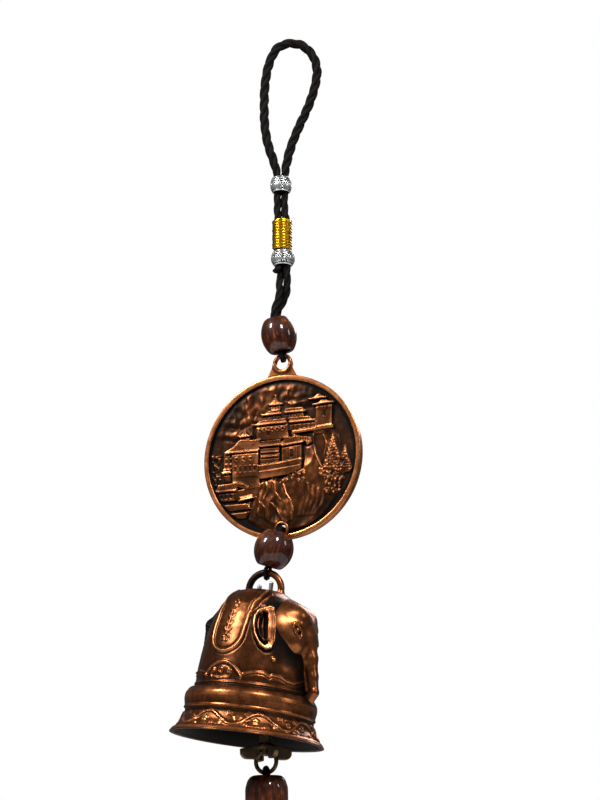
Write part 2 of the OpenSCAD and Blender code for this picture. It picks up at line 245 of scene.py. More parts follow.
def make_cord():
    made = Shader("cord_fibre", roughness=0.7, specular_ior_level=0.1)
    coords = made.coords()
    fibres = made.noise(coords, scale=2400, detail=3)
    made.colour(made.ramp(fibres, [
        (0.3, (0.001, 0.001, 0.001)), (0.55, (0.004, 0.0026, 0.002)), (0.8, (0.016, 0.011, 0.009))]))
    made.rough(made.span(fibres, 0.55, 0.8))
    made.bump(fibres, strength=0.35, distance=0.00015)
    return made.made


def make_gold_thread():
    made = Shader("gold_thread", metallic=1.0, roughness=0.3)
    coords = made.coords()
    fibres = made.noise(made.stretched(coords, (1, 1, 4)), scale=2200, detail=3)
    tone = made.noise(coords, scale=300, detail=2)
    made.colour(made.ramp(made.maths("ADD", fibres, made.span(tone, -0.15, 0.15)), [
        (0.25, (0.22, 0.10, 0.002)), (0.5, (0.66, 0.35, 0.008)), (0.8, (0.95, 0.66, 0.08))]))
    made.rough(made.span(fibres, 0.16, 0.4))
    made.bump(fibres, strength=0.15, distance=0.0001)
    return made.made


def make_wood():
    """Dark polished wood, its grain along the bead's own axis."""
    made = Shader("polished_wood", roughness=0.45, specular_ior_level=0.12, coat_weight=0.7,
                  coat_roughness=0.09)
    local = made.attribute("local", "Vector")
    streaks = made.noise(made.stretched(local, (1, 1, 0.14)), scale=1.1, detail=6, roughness=0.7)
    pores = made.noise(made.stretched(local, (1, 1, 0.08)), scale=5, detail=3)
    patches = made.noise(local, scale=0.24, detail=3)
    tone = made.maths("ADD", streaks, made.span(pores, -0.08, 0.08))
    tone = made.maths("ADD", tone, made.span(patches, -0.32, 0.3))
    made.colour(made.ramp(tone, [
        (0.3, (0.010, 0.002, 0.001)), (0.48, (0.036, 0.007, 0.002)),
        (0.64, (0.11, 0.025, 0.006)), (0.85, (0.38, 0.12, 0.03))]))
    made.rough(made.span(pores, 0.4, 0.6))
    made.bump(pores, strength=0.12, distance=0.0001)
    return made.made


# ---- frames --------------------------------------------------------------------------------

def axis_of(joint):
    """A joint's axis, as the record gives it."""
    return Vector(JOINTS[joint]["axis"]).normalized()


def place_of(joint):
    """A joint's own point, in millimetres."""
    return Vector(JOINTS[joint]["pos_m"]) / MM


def frame_at(origin, x_axis, z_axis):
    """The matrix of a frame with that origin, in millimetres."""
    x_axis = (x_axis - x_axis.dot(z_axis) * z_axis).normalized()
    made = Matrix((x_axis, z_axis.cross(x_axis), z_axis)).transposed().to_4x4()
    made.translation = origin
    return made


def moved(matrix, points):
    """Points of a frame, placed in the world."""
    m = np.array(matrix)
    return np.asarray(points, float) @ m[:3, :3].T + m[:3, 3]


RIGHT = axis_of("medallion_swing")     # along the turned medallion, to its right
BACK = axis_of("link_swing")           # square to the medallion, away from the viewer
UP = Vector((0, 0, 1))
EYE_HINGE = place_of("medallion_swing")
CHAIN = frame_at(Vector((EYE_HINGE.x, EYE_HINGE.y, 0)), RIGHT, UP)

BAIL_H = 6.45                          # the top of the bail's middle line over the crown
BELL_UP = (place_of("bell_swing") - place_of("clapper_swing")).normalized()
BELL = frame_at(place_of("bell_swing") - BAIL_H * BELL_UP, axis_of("bell_swing"), BELL_UP)

LUG_H = 46.7                           # the hole in the clapper's foot, below its hinge
RING_R = 3.5
CLAPPER = frame_at(place_of("clapper_swing"), axis_of("ring_swing"),
                   axis_of("ring_swing").cross(axis_of("clapper_swing")))
RING = CLAPPER @ Matrix.Translation((0, 0, -LUG_H - RING_R))


# ---- mesh building -------------------------------------------------------------------------

class Shape:
    """Points, faces, and wear with any painted shade, of one piece, gathered from several parts."""

    def __init__(self):
        self.points, self.faces, self.worn, self.count = [], [], [], 0

    def add(self, points, faces, worn=0.5):
        points = np.asarray(points, float).reshape(-1, 3)
        self.points.append(points)
        self.worn.append(np.broadcast_to(np.asarray(worn, float), (len(points),)))
        for f in faces:
            f = np.asarray(f)
            if len(f):
                self.faces.append(f + self.count)
        self.count += len(points)
        return self

    def build(self, name, body, slot, material, matrix=None, replaces=()):
        local = np.concatenate(self.points)
        placed = moved(matrix, local) if matrix is not None else local
        mesh = bpy.data.meshes.new(name)
        mesh.vertices.add(len(placed))
        mesh.vertices.foreach_set("co", (placed * MM).astype(np.float32).ravel())
        sizes = np.concatenate([np.full(len(f), f.shape[1]) for f in self.faces])
        corners = np.concatenate([f.ravel() for f in self.faces]).astype(np.int32)
        mesh.loops.add(len(corners))
        mesh.loops.foreach_set("vertex_index", corners)
        mesh.polygons.add(len(sizes))
        starts = np.concatenate([[0], np.cumsum(sizes)[:-1]]).astype(np.int32)
        mesh.polygons.foreach_set("loop_start", starts)
        mesh.polygons.foreach_set("use_smooth", np.ones(len(sizes), bool))
        mesh.update(calc_edges=True)
        mesh.validate()
        worn = mesh.attributes.new("worn", "FLOAT", "POINT")
        worn.data.foreach_set("value", np.clip(np.concatenate(self.worn), 0, 1).astype(np.float32))
        own = mesh.attributes.new("local", "FLOAT_VECTOR", "POINT")
        own.data.foreach_set("vector", local.astype(np.float32).ravel())
        mesh.materials.append(material)
        made = bpy.data.objects.new(name, mesh)
        bpy.context.scene.collection.objects.link(made)
        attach(made, body)
        if replaces:
            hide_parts(*replaces)
        return made


def grid_faces(rows, columns):
    """Quads between neighbouring rows of points, each row closed into a ring."""
    i = np.arange(rows - 1)[:, None]
    j = np.arange(columns)[None, :]
    k = (j + 1) % columns
    quads = [i * columns + j, (i + 1) * columns + j, (i + 1) * columns + k, i * columns + k]
    return np.stack(np.broadcast_arrays(*quads), -1).reshape(-1, 4)


POLE = 0.3     # an outline that ends this close to the axis is closed there


def lathe(profile, columns, relief=None, worn=0.5):
    """A turned surface: (radius, height) rows, pushed along the outline's normal by relief."""
    profile = np.asarray(profile, float)
    along = np.gradient(profile, axis=0)
    along /= np.maximum(np.linalg.norm(along, axis=1, keepdims=True), 1e-9)
    normal = np.stack([-along[:, 1], along[:, 0]], 1)
    angle = np.arange(columns) * TAU / columns
    push = np.zeros((len(profile), columns)) if relief is None else relief
    radius = profile[:, :1] + push * normal[:, :1]
    height = profile[:, 1:] + push * normal[:, 1:]
    points = np.stack([radius * np.cos(angle), radius * np.sin(angle), height + 0 * angle], -1)
    worn = np.broadcast_to(np.asarray(worn, float), points.shape[:2])
    flat, wear = points.reshape(-1, 3), worn.reshape(-1)
    faces = [grid_faces(len(profile), columns)]
    ring = np.arange(columns)
    for row, turned in ((0, False), (len(profile) - 1, True)):
        if profile[row, 0] < POLE:
            pole = len(flat)
            flat = np.vstack([flat, [0, 0, height[row].mean()]])
            wear = np.append(wear, wear[row * columns:(row + 1) * columns].mean())
            a, b = row * columns + ring, row * columns + (ring + 1) % columns
            fan = [a, b] if not turned else [b, a]
            faces.append(np.stack([*fan, np.full(columns, pole)], -1))
    return flat, faces, wear


def run_of(path):
    """The distance along a path at each of its points."""
    return np.concatenate([[0], np.cumsum(np.linalg.norm(np.diff(path, axis=0), axis=1))])


def even_line(points, step):
    """Points along a broken line at an even spacing."""
    points = np.asarray(points, float)
    run = run_of(points)
    at = np.linspace(0, run[-1], max(2, int(round(run[-1] / step)) + 1))
    return np.stack([np.interp(at, run, points[:, k]) for k in range(points.shape[1])], 1)


def soft_line(points, step, blur):
    """A broken line with its corners rounded."""
    fine_step = 0.05
    fine = even_line(points, fine_step)
    reach = int(3 * blur / fine_step)
    if reach:
        weight = np.exp(-0.5 * (np.arange(-reach, reach + 1) * fine_step / blur) ** 2)
        weight /= weight.sum()
        head = 2 * fine[0] - fine[1:reach + 1][::-1]
        tail = 2 * fine[-1] - fine[-reach - 1:-1][::-1]
        wide = np.vstack([head, fine, tail])
        fine = np.stack([np.convolve(wide[:, k], weight, "valid") for k in range(fine.shape[1])], 1)
    return even_line(fine, step)


def curve_through(points, step):
    """A smooth curve through given points, at an even spacing."""
    points = np.asarray(points, float)
    wide = np.vstack([2 * points[0] - points[1], points, 2 * points[-1] - points[-2]])
    t = np.linspace(0, 1, 13)[:-1, None]
    pieces = []
    for a, b, c, d in zip(wide[:-3], wide[1:-2], wide[2:-1], wide[3:]):
        pieces.append(0.5 * (2 * b + (c - a) * t + (2 * a - 5 * b + 4 * c - d) * t ** 2
                             + (3 * b - a - 3 * c + d) * t ** 3))
    return even_line(np.vstack([*pieces, points[-1:]]), step)


def side_vectors(path):
    """Two vectors square to the path at each point, carried along without twist."""
    along = np.gradient(path, axis=0)
    along /= np.linalg.norm(along, axis=1, keepdims=True)
    side = np.array([0.31, 0.9, 0.28])     # any direction that no path here starts in
    sides = []
    for t in along:
        side = side - (side @ t) * t
        side = side / np.linalg.norm(side)
        sides.append(side)
    sides = np.array(sides)
    return sides, np.cross(along, sides)


def tube(path, radius, sides, lobes=0, lobe_depth=0.0, lobe_twist=0.0):
    """A round tube along a path with rounded ends. Lobes are ridges that wind along it."""
    path = np.asarray(path, float)
    n = len(path)
    radius = np.broadcast_to(np.asarray(radius, float), (n,))
    first, second = side_vectors(path)
    angle = np.arange(sides) * TAU / sides
    wave = 1 + lobe_depth * np.cos(lobes * (angle[None] + lobe_twist * run_of(path)[:, None]))
    reach = radius[:, None] * wave
    ring = (reach * np.cos(angle))[..., None] * first[:, None] \
        + (reach * np.sin(angle))[..., None] * second[:, None]
    tips, shoulders = [], []
    for end, inner in ((0, 1), (-1, -2)):
        out = (path[end] - path[inner]) / np.linalg.norm(path[end] - path[inner])
        tips.append(path[end] + out * radius[end] * 0.6)
        shoulders.append(tips[-1] + (path[end] - tips[-1]) * 0.35 + ring[end] * 0.75)
    grid = np.concatenate([shoulders[0][None], path[:, None] + ring, shoulders[1][None]])
    faces = grid_faces(n + 2, sides)[:, ::-1]
    k = np.arange(sides)
    last_row, near = (n + 1) * sides, (n + 2) * sides
    start = np.stack([k, (k + 1) % sides, np.full(sides, near)], -1)[:, ::-1]
    finish = np.stack([last_row + k, last_row + (k + 1) % sides, np.full(sides, near + 1)], -1)
    return np.vstack([grid.reshape(-1, 3), tips]), [faces, start, finish]


def surface_of(distance, low, high, step):
    """Points and quads of the surface where distance(points) is 0, one point in each crossed cell."""
    axes = [np.arange(a, b + step, step) for a, b in zip(low, high)]
    shape = tuple(len(a) for a in axes)
    grid = np.stack(np.meshgrid(*axes, indexing="ij"), -1).reshape(-1, 3)
    field = distance(grid).reshape(shape)
    cells = tuple(n - 1 for n in shape)
    total, count = np.zeros((*cells, 3)), np.zeros(cells)
    crossings = []
    for axis in range(3):
        others = [k for k in range(3) if k != axis]
        near = [slice(None)] * 3
        far = [slice(None)] * 3
        near[axis], far[axis] = slice(0, -1), slice(1, None)
        a, b = field[tuple(near)], field[tuple(far)]
        crossed = (a < 0) != (b < 0)
        edge = np.argwhere(crossed)
        a, b = a[crossed], b[crossed]
        where = edge.astype(float)
        where[:, axis] += a / (a - b)
        inner = np.all([(edge[:, k] > 0) & (edge[:, k] < shape[k] - 1) for k in others], axis=0)
        edge, where, a = edge[inner], where[inner], a[inner]
        ring = []
        for shift in ((0, 0), (1, 0), (1, 1), (0, 1)):
            cell = edge.copy()
            cell[:, others[0]] -= shift[0]
            cell[:, others[1]] -= shift[1]
            np.add.at(total, tuple(cell.T), where)
            np.add.at(count, tuple(cell.T), 1)
            ring.append(np.ravel_multi_index(tuple(cell.T), cells))
        ring = np.stack(ring, -1)
        flip = (a < 0) if axis != 1 else (a >= 0)
        ring[flip] = ring[flip][:, ::-1]
        crossings.append(ring)
    used = np.flatnonzero(count.ravel())
    index = np.full(count.size, -1)
    index[used] = np.arange(len(used))
    points = total.reshape(-1, 3)[used] / count.ravel()[used][:, None]
    points = points * step + np.array(low)
    faces = index[np.concatenate(crossings)]
    for _ in range(2):
        slope = slope_of(distance, points, step * 0.2)
        reach = (slope ** 2).sum(1, keepdims=True)
        shift = distance(points)[:, None] * slope / np.maximum(reach, 0.2)
        points -= np.clip(shift, -step, step)
    return points, [faces]


def slope_of(distance, points, h):
    """The gradient of distance at each point, over a span of h each way."""
    ahead = [distance(points + h * e) for e in np.eye(3)]
    behind = [distance(points - h * e) for e in np.eye(3)]
    return np.stack([(a - b) / (2 * h) for a, b in zip(ahead, behind)], 1)


def hollowness(distance, points, reach):
    """How far each point of a surface lies in a hollow (below 0) or on a ridge (above 0)."""
    slope = slope_of(distance, points, reach * 0.3)
    slope /= np.maximum(np.linalg.norm(slope, axis=1, keepdims=True), 1e-6)
    return (distance(points + reach * slope) - reach) / reach


# ---- distances and noise -------------------------------------------------------------------

def ball(p, at, radius):
    return np.linalg.norm(p - np.array(at), axis=-1) - radius


def egg(p, at, radii):
    """An ellipsoid, as a close to true distance."""
    q = (p - np.array(at)) / np.array(radii)
    k = np.linalg.norm(q, axis=-1)
    slope = np.linalg.norm(q / np.array(radii), axis=-1)
    return k * (k - 1) / np.maximum(slope, 1e-9)


def limb(p, a, b, r_a, r_b, widen=1.0):
    """A round limb from a to b whose radius runs from r_a to r_b, widened along y."""
    scale = np.array([1, 1 / widen, 1])
    q, a, b = (p - np.array(a)) * scale, np.zeros(3), (np.array(b) - np.array(a)) * scale
    t = np.clip(q @ b / (b @ b), 0, 1)
    return np.linalg.norm(q - t[:, None] * b, axis=-1) - (r_a + (r_b - r_a) * t)


def block(p, low, high, rounding):
    """A box with rounded edges."""
    mid, half = (np.array(low) + np.array(high)) / 2, (np.array(high) - np.array(low)) / 2 - rounding
    q = np.abs(p - mid) - half
    return np.linalg.norm(np.maximum(q, 0), axis=-1) + np.minimum(q.max(-1), 0) - rounding


def together(a, b, blend):
    """Two solids joined with a fillet."""
    h = np.clip(0.5 + 0.5 * (b - a) / blend, 0, 1)
    return b + (a - b) * h - blend * h * (1 - h)


def cut_by(a, b, blend):
    """Solid a without solid b, with a rounded edge."""
    return -together(-a, b, blend)


def joined(whole, *others):
    """Solids joined one after the other, each with a fillet of its own."""
    for solid, blend in others:
        whole = together(whole, solid, blend)
    return whole


CELLS = 64
LATTICE = np.random.RandomState(7).rand(CELLS, CELLS, CELLS)
SEED_SHIFT = 17.3


def noise(points, size, seed=0):
    """Smooth noise from -1 to 1 whose lumps are about size across."""
    q = np.asarray(points, float) / size + SEED_SHIFT * (seed + 1)
    i = np.floor(q).astype(int)
    f = q - i
    f = f * f * (3 - 2 * f)
    total = 0
    for dx, dy, dz in np.ndindex(2, 2, 2):
        weight = np.abs(1 - dx - f[..., 0]) * np.abs(1 - dy - f[..., 1]) * np.abs(1 - dz - f[..., 2])
        x, y, z = (i[..., 0] + dx) % CELLS, (i[..., 1] + dy) % CELLS, (i[..., 2] + dz) % CELLS
        total = total + weight * LATTICE[x, y, z]
    return 2 * total - 1


def layered(points, size, octaves, seed):
    """Noise with finer and weaker noise on top of it."""
    return sum(noise(points, size / 2 ** k, seed + k) / 2 ** k for k in range(octaves))


def flat_points(x, y):
    """Points of a plane, for noise."""
    return np.stack([x, y, 0 * x], -1)


def circle(at, radius, count, start=0.0):
    """Places round a circle."""
    turns = [TAU * k / count + start for k in range(count)]
    return [(at[0] + radius * math.cos(a), at[1] + radius * math.sin(a)) for a in turns]


def ramp_up(x):
    """A soft step: 0 below 0, 1 above 1."""
    x = np.clip(x, 0, 1)
    return x * x * (3 - 2 * x)


class Relief:
    """A height map in millimetres, worked from back to front like a sculptor's clay."""

    def __init__(self, low, high, step):
        self.low, self.step = np.array(low, float), step
        x = np.arange(low[0], high[0] + step, step)
        y = np.arange(low[1], high[1] + step, step)
        self.x, self.y = np.meshgrid(x, y)
        self.h = np.zeros(self.x.shape)

    def window(self, points, margin):
        """The part of the map within a margin of some points."""
        points = np.asarray(points, float)
        low = (points.min(0) - margin - self.low) / self.step
        high = (points.max(0) + margin - self.low) / self.step + 2
        lo = np.clip(low.astype(int), 0, None)
        hi = np.maximum(high.astype(int), lo + 1)
        return np.s_[lo[1]:hi[1], lo[0]:hi[0]]

    def to_line(self, w, points, closed=False):
        """Distance to a broken line within the window."""
        points = [np.array(p, float) for p in points]
        ends = points[1:] + points[:1] if closed else points[1:]
        x, y = self.x[w], self.y[w]
        best = np.full(x.shape, 1e9)
        for a, b in zip(points, ends):
            d = b - a
            t = np.clip(((x - a[0]) * d[0] + (y - a[1]) * d[1]) / max(d @ d, 1e-9), 0, 1)
            best = np.minimum(best, np.hypot(x - a[0] - t * d[0], y - a[1] - t * d[1]))
        return best

    def inside(self, w, points):
        x, y = self.x[w], self.y[w]
        within = np.zeros(x.shape, bool)
        for (ax, ay), (bx, by) in zip(points, points[1:] + points[:1]):
            if ay != by:
                within ^= ((y < ay) != (y < by)) & (x < (bx - ax) * (y - ay) / (by - ay) + ax)
        return within

    def fill(self, points, level, edge=0.3, add=False):
        """Brings the area inside an outline to a level, which may be a function of x and y."""
        points = [tuple(p) for p in points]
        w = self.window(points, edge)
        d = self.to_line(w, points, closed=True)
        share = ramp_up(0.5 + np.where(self.inside(w, points), d, -d) / edge)
        target = level(self.x[w], self.y[w]) if callable(level) else level
        if add:
            self.h[w] += share * target
        else:
            self.h[w] = self.h[w] * (1 - share) + target * share

    def line(self, points, width, rise, closed=False):
        """A rounded ridge, or a groove where rise is below 0."""
        w = self.window(points, width)
        d = self.to_line(w, points, closed) / width
        self.h[w] += rise * np.clip(1 - d * d, 0, 1) ** 1.5

    def dot(self, at, radius, rise):
        self.line([at, (at[0] + 1e-3, at[1])], radius, rise)

    def ring(self, at, radius, width, rise):
        self.line(circle(at, radius, 24), width, rise, closed=True)

    def curl(self, at, radius, width, rise, turn=1, start=0.0):
        """A spiral that winds in towards its middle."""
        turns = 1.4
        a = np.linspace(0, turns * TAU, 26)
        r = radius * (1 - 0.8 * a / a[-1])
        points = np.stack([at[0] + turn * r * np.cos(a + start), at[1] + r * np.sin(a + start)], 1)
        self.line([tuple(p) for p in points], width, rise)

    def blurred(self, size):
        """The heights blurred over that size, by repeated box averages."""
        out, half = self.h, max(1, int(size / self.step / 2))
        width = 2 * half + 1
        for _ in range(2):
            for axis in (0, 1):
                before, after = out.take([0] * (half + 1), axis), out.take([-1] * half, axis)
                run = np.cumsum(np.concatenate([before, out, after], axis), axis)
                count = run.shape[axis]
                out = (run.take(range(width, count), axis) - run.take(range(count - width), axis)) / width
        return out

    def sample(self, field, x, y):
        """The field's values at other points, between its own."""
        u = np.clip((x - self.low[0]) / self.step, 0, field.shape[1] - 1.001)
        v = np.clip((y - self.low[1]) / self.step, 0, field.shape[0] - 1.001)
        i, j = u.astype(int), v.astype(int)
        fu, fv = u - i, v - j
        return (field[j, i] * (1 - fu) + field[j, i + 1] * fu) * (1 - fv) \
            + (field[j + 1, i] * (1 - fu) + field[j + 1, i + 1] * fu) * fv


# ---- cords -----------------------------------------------------------------------------------

# Middle lines of the cords, listed point by point. The hanging cord's points are x, y, z and its full width.
HANGING_ROUTE = [
    (-5.4, -1.6, -80.6, 1.4), (-4.4, -1.1, -80.2, 2.1), (-3.7, -0.8, -78.8, 2.3),
    (-3.6, -0.7, -73, 2.3), (-3.9, -0.7, -67, 2.3), (-4, -0.6, -62, 2.3), (-4.2, 0, -58, 2.3),
    (-4.2, 0, -49.8, 2.3), (-4.3, 0, -46, 2.5), (-5.2, 0, -42.4, 3.1), (-6.2, 0, -39.2, 3.3),
    (-7.5, 0, -35, 3.3), (-8.5, 0, -29, 3.3), (-8.8, 0, -22, 3.3), (-8.6, 0, -14, 3.3),
    (-7.4, 0, -6.6, 3.3), (-5, 0, -1, 3.3), (-2, 0, 1.2, 3.3), (1.6, 0, 1.6, 3.3),
    (5.2, 0, 0.2, 3.3), (8.2, 0, -3.6, 3.3), (9.3, 0, -8.8, 3.3), (8.2, 0, -15.6, 3.3),
    (5.8, 0, -22.6, 3.3), (3, 0, -29, 3.3), (0.7, 0, -35, 3.3), (-0.5, 0, -39.2, 3.3),
    (-1.2, 0, -42.4, 3.1), (-1.7, 0, -46, 2.5), (-1.8, 0, -49.8, 2.3), (-1.8, 0, -58, 2.3),
    (-1.3, -0.6, -62, 2.3), (-1.3, -0.7, -67, 2.3), (-1, -0.7, -73, 2.3), (-1, -0.7, -79, 2.3),
    (-0.9, -0.3, -83, 2.3), (-1, 0.5, -87, 2.3), (-2, 1, -90.2, 2.3), (-3.8, 1.2, -93.6, 2.3),
    (-4.3, 1.2, -97, 2.3), (-3, 1.2, -104, 1.9), (-2, 1.5, -108.6, 1.5), (-1.7, 1.7, -109.8, 1.5),
    (-1.9, 1.2, -111, 1.5), (-2.3, 0, -111.5, 1.5), (-2.7, -1.2, -111, 1.5),
    (-2.9, -1.7, -109.8, 1.5), (-3.1, -1.5, -108.6, 1.5), (-3.9, -1.2, -104, 1.9),
    (-5.2, -1.2, -97, 2.3), (-4.9, -1.2, -93.6, 2.3), (-3.8, -1, -90.2, 2.3),
    (-3.4, -0.3, -87, 2.3), (-3.4, 0.6, -83, 2.3), (-2.6, 1.5, -79, 2.3), (-2.3, 1.5, -73, 2.3),
    (-2.6, 1.5, -67, 2.3)]

# x, y, z in the medallion's turned frame
LINK_ROUTE = [
    (0.7, 2, -168.9), (0.7, -2.4, -168.9), (1.1, -4.2, -169.2), (1.7, -6, -170),
    (1.7, -7.3, -172.4), (0.6, -7.7, -175.2), (-0.6, -7.8, -178), (-1.6, -8, -181),
    (-2.1, -8.5, -182.8), (-2.6, -9, -184.4), (-2.8, -8.4, -185.8), (-2.9, -7, -186.4),
    (-2.8, -5.6, -185.8), (-2.6, -5, -184.4), (-2.1, -5.5, -182.8), (-1.6, -6, -181),
    (-0.6, -6.2, -178), (0, -6.3, -175.2), (0.3, -6.2, -172.4), (0.6, -5.9, -170.4),
    (-0.4, -4, -169.3), (-0.7, -2.4, -168.9), (-0.7, 2, -168.9)]

# x, y, z from the middle of the clapper's ring, in the clapper's frame
TAIL_ROUTE = [
    (0, -1, -25.3), (0, -1, -18.4), (0, -1, -11.4), (0, -1.2, -6.4), (0, -1.4, -4.9),
    (0, -1.7, -3.5), (0, -1.2, -2.3), (0, 0, -1.8), (0, 1.2, -2.3), (0, 1.7, -3.5),
    (0, 1.4, -4.9), (0, 1.2, -6.4), (0, 1, -11.4), (0, 1, -18.4), (0, 1, -25.3)]


def rope(shape, curve, width, pitch, sides=12, lobes=7):
    """Three twisted strands along a curve whose full width may change."""
    first, second = side_vectors(curve)
    run = run_of(curve)
    for k in range(3):
        turn = TAU * (run / pitch + k / 3)
        offset = (0.215 * width)[:, None]
        strand = curve + offset * (np.cos(turn)[:, None] * first + np.sin(turn)[:, None] * second)
        shape.add(*tube(strand, 0.285 * width, sides, lobes, 0.06, -2.2 / pitch))
    return shape


def trefoil(size, thickness, z_scale):
    """A small tied knot as a closed path of cord."""
    t = np.linspace(0, TAU, 90)
    path = np.stack([np.sin(t) + 2 * np.sin(2 * t), np.cos(t) - 2 * np.cos(2 * t),
                     -z_scale * np.sin(3 * t)], 1) * size
    return tube(path, thickness / 2, 12, lobes=6, lobe_depth=0.07, lobe_twist=1.5)


def make_cords(cord):
    hanging = curve_through(HANGING_ROUTE, 0.36)
    path, width = hanging[:, :3], hanging[:, 3]
    swollen = width * np.interp(width, [1.5, 2.3, 3.3], [1, 1.15, 1])     # fuller in its lower legs
    shape = rope(Shape(), path, swollen, pitch=12.7)
    made = shape.build("hanging_rope", "hanging_cord", "cord", cord, replaces=["hanging_cord"])

    path = curve_through(LINK_ROUTE, 0.22)
    shape = rope(Shape(), path, np.full(len(path), 1.3), pitch=5, sides=10, lobes=5)
    made = shape.build("link_rope", "link", "cord", cord, CHAIN, ["link_cord"])
    knot = Shape().add(*trefoil(0.42, 1.15, 1.3))
    tie = CHAIN @ Matrix.Translation((0, 3.7, -168.9)) @ Matrix.Rotation(math.pi / 2, 4, "X")
    knot = knot.build("link_tie", "link", "cord", cord, tie,
                      ["link_knot"])

    path = curve_through(TAIL_ROUTE, 0.25)
    shape = rope(Shape(), path, np.full(len(path), 1.5), pitch=6, sides=10, lobes=5)
    made = shape.build("tail_rope", "pull", "cord", cord, RING, ["tail_cord"])
    knot = Shape().add(*trefoil(0.6, 1.75, 1.5))
    knot = knot.build("tail_tie", "pull", "cord", cord, RING @ Matrix.Translation((0, 0, -27.5)),
                      ["end_knot"])


# ---- beads and thread ------------------------------------------------------------------------

def bead_outline(height, d_mid, d_end, bore, blur, step=0.25):
    """The closed outline of a bored bead, from the middle of its bore up and round."""
    rise = (d_mid - d_end) / 2
    arc_r = (height ** 2 / 4 + rise ** 2) / (2 * rise)
    z = np.linspace(height / 2, -height / 2, 21)
    side = [(d_mid / 2 - arc_r + math.sqrt(arc_r ** 2 - h * h), h) for h in z]
    line = [(bore / 2, 0), (bore / 2, height / 2), *side, (bore / 2, -height / 2), (bore / 2, 0)]
    return soft_line(line, step, blur)


def middle_of(node):
    low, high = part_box(node)
    return (Vector(low) + Vector(high)) / 2 / MM


def silver_bead(node, body, diameter, silver):
    """A carved bead: fans of fine arcs in panels round its waist, between plain rims."""
    columns, panels = 300, 4
    bore, arc_pitch, cut_depth = 5.2, 0.78, 0.2
    outline = bead_outline(5.2, diameter, 6, bore, blur=0.14, step=0.09)
    radius, z = outline[:, :1], outline[:, 1:]
    around = np.linspace(-1, 1, len(outline))[:, None]
    angle = np.arange(columns) * TAU / columns
    wide = TAU / panels * diameter / 2
    cuts = []
    for offset, foot, rise in ((0, -2.2, 3.9), (wide / 2, -0.2, 2.1)):
        across = (angle * diameter / 2 + offset + wide / 2) % wide - wide / 2
        far = np.hypot(across, z - foot)
        ripple = np.abs((far / arc_pitch) % 1 - 0.5) * 2
        cuts.append(np.clip(1.2 - ripple / 0.55, 0, 1) * (far < rise) * (far > 0.3) * (z > foot - 0.1))
    groove = np.where(far < 2.3, cuts[1], cuts[0]) * (np.abs(z) < 2)
    edge = np.clip(1 - np.abs(np.abs(z) - 2.1) / 0.16, 0, 1)
    outside = (radius > bore / 2 + 0.02) & (np.abs(around) < 0.9) & (radius > diameter / 2 - 1.2)
    cut = np.maximum(groove, edge) * outside
    shape = Shape().add(*lathe(outline, columns, -cut_depth * cut, 0.85 - 0.95 * cut))
    turn = Matrix.Translation(middle_of(node)) @ Matrix.Rotation(math.pi / 2 + 0.1, 4, "Z")
    shape.build(node + "_carved", body, "silver", silver, turn, [node])


def gold_thread(thread):
    """Fine thread wound round a sleeve in side by side turns."""
    height, turns, thick, outer_r = 11, 10, 1.12, 3.4
    run = np.linspace(0, 1, turns * 40)
    angle = run * turns * TAU
    reach = outer_r - thick / 2 + 0.08 * np.sin(angle * 0.37)
    z = height / 2 - thick / 2 - run * (height - thick)
    path = np.stack([reach * np.cos(angle), reach * np.sin(angle), z], 1)
    shape = Shape().add(*tube(path, thick / 2, 12, lobes=5, lobe_depth=0.08, lobe_twist=2.5))
    bore_r, sleeve_r, half = 2.62, 2.95, 5.3
    sleeve = [(bore_r, 0), (bore_r, half), (sleeve_r, half), (sleeve_r, -half), (bore_r, -half), (bore_r, 0)]
    shape.add(*lathe(soft_line(sleeve, 0.3, 0.08), 48))
    shape.build("gold_winding", "hanging_cord", "gold_thread", thread,
                Matrix.Translation(middle_of("gold_wrap")), ["gold_wrap"])


def wooden_bead(node, body, joint, outline, wood, phase):
    """A turned bead, slightly uneven as such beads are."""
    columns = 96
    angle = np.arange(columns) * TAU / columns
    along = outline[:, 1:]
    uneven = 0.05 * np.sin(3 * angle + phase) * np.cos(along * 0.3) + 0.04 * np.sin(angle + 2 * phase)
    uneven = uneven * (outline[:, :1] > 2.9)
    axis = axis_of(joint)
    place = frame_at(place_of(joint), RIGHT, axis) @ Matrix.Rotation(phase, 4, "Z")
    shape = Shape().add(*lathe(outline, columns, uneven - 0.03))
    return shape.build(node + "_turned", body, "wood", wood, place, [node])


def barrel_outline():
    """The closed outline of the long bead."""
    bore_r, half = 2.4, 10
    upper = [(5.1, half), (6.18, 8.6), (6.9, 6.2)]
    lower = [(r, -h) for r, h in reversed(upper)]
    return soft_line([(bore_r, 0), (bore_r, half), *upper, *lower, (bore_r, -half), (bore_r, 0)], 0.3, 0.5)


# ---- medallion -------------------------------------------------------------------------------

MEDAL_R = 27.9
TILE = 0.62           # a roof tile's width
EAVES_LIFT = 0.45     # how far the ends of the eaves turn up


def between(p, q, share, sag=0.0):
    """The place that share of the way from p to q, let down by the sag."""
    return (p[0] + (q[0] - p[0]) * share, p[1] + (q[1] - p[1]) * share - sag)


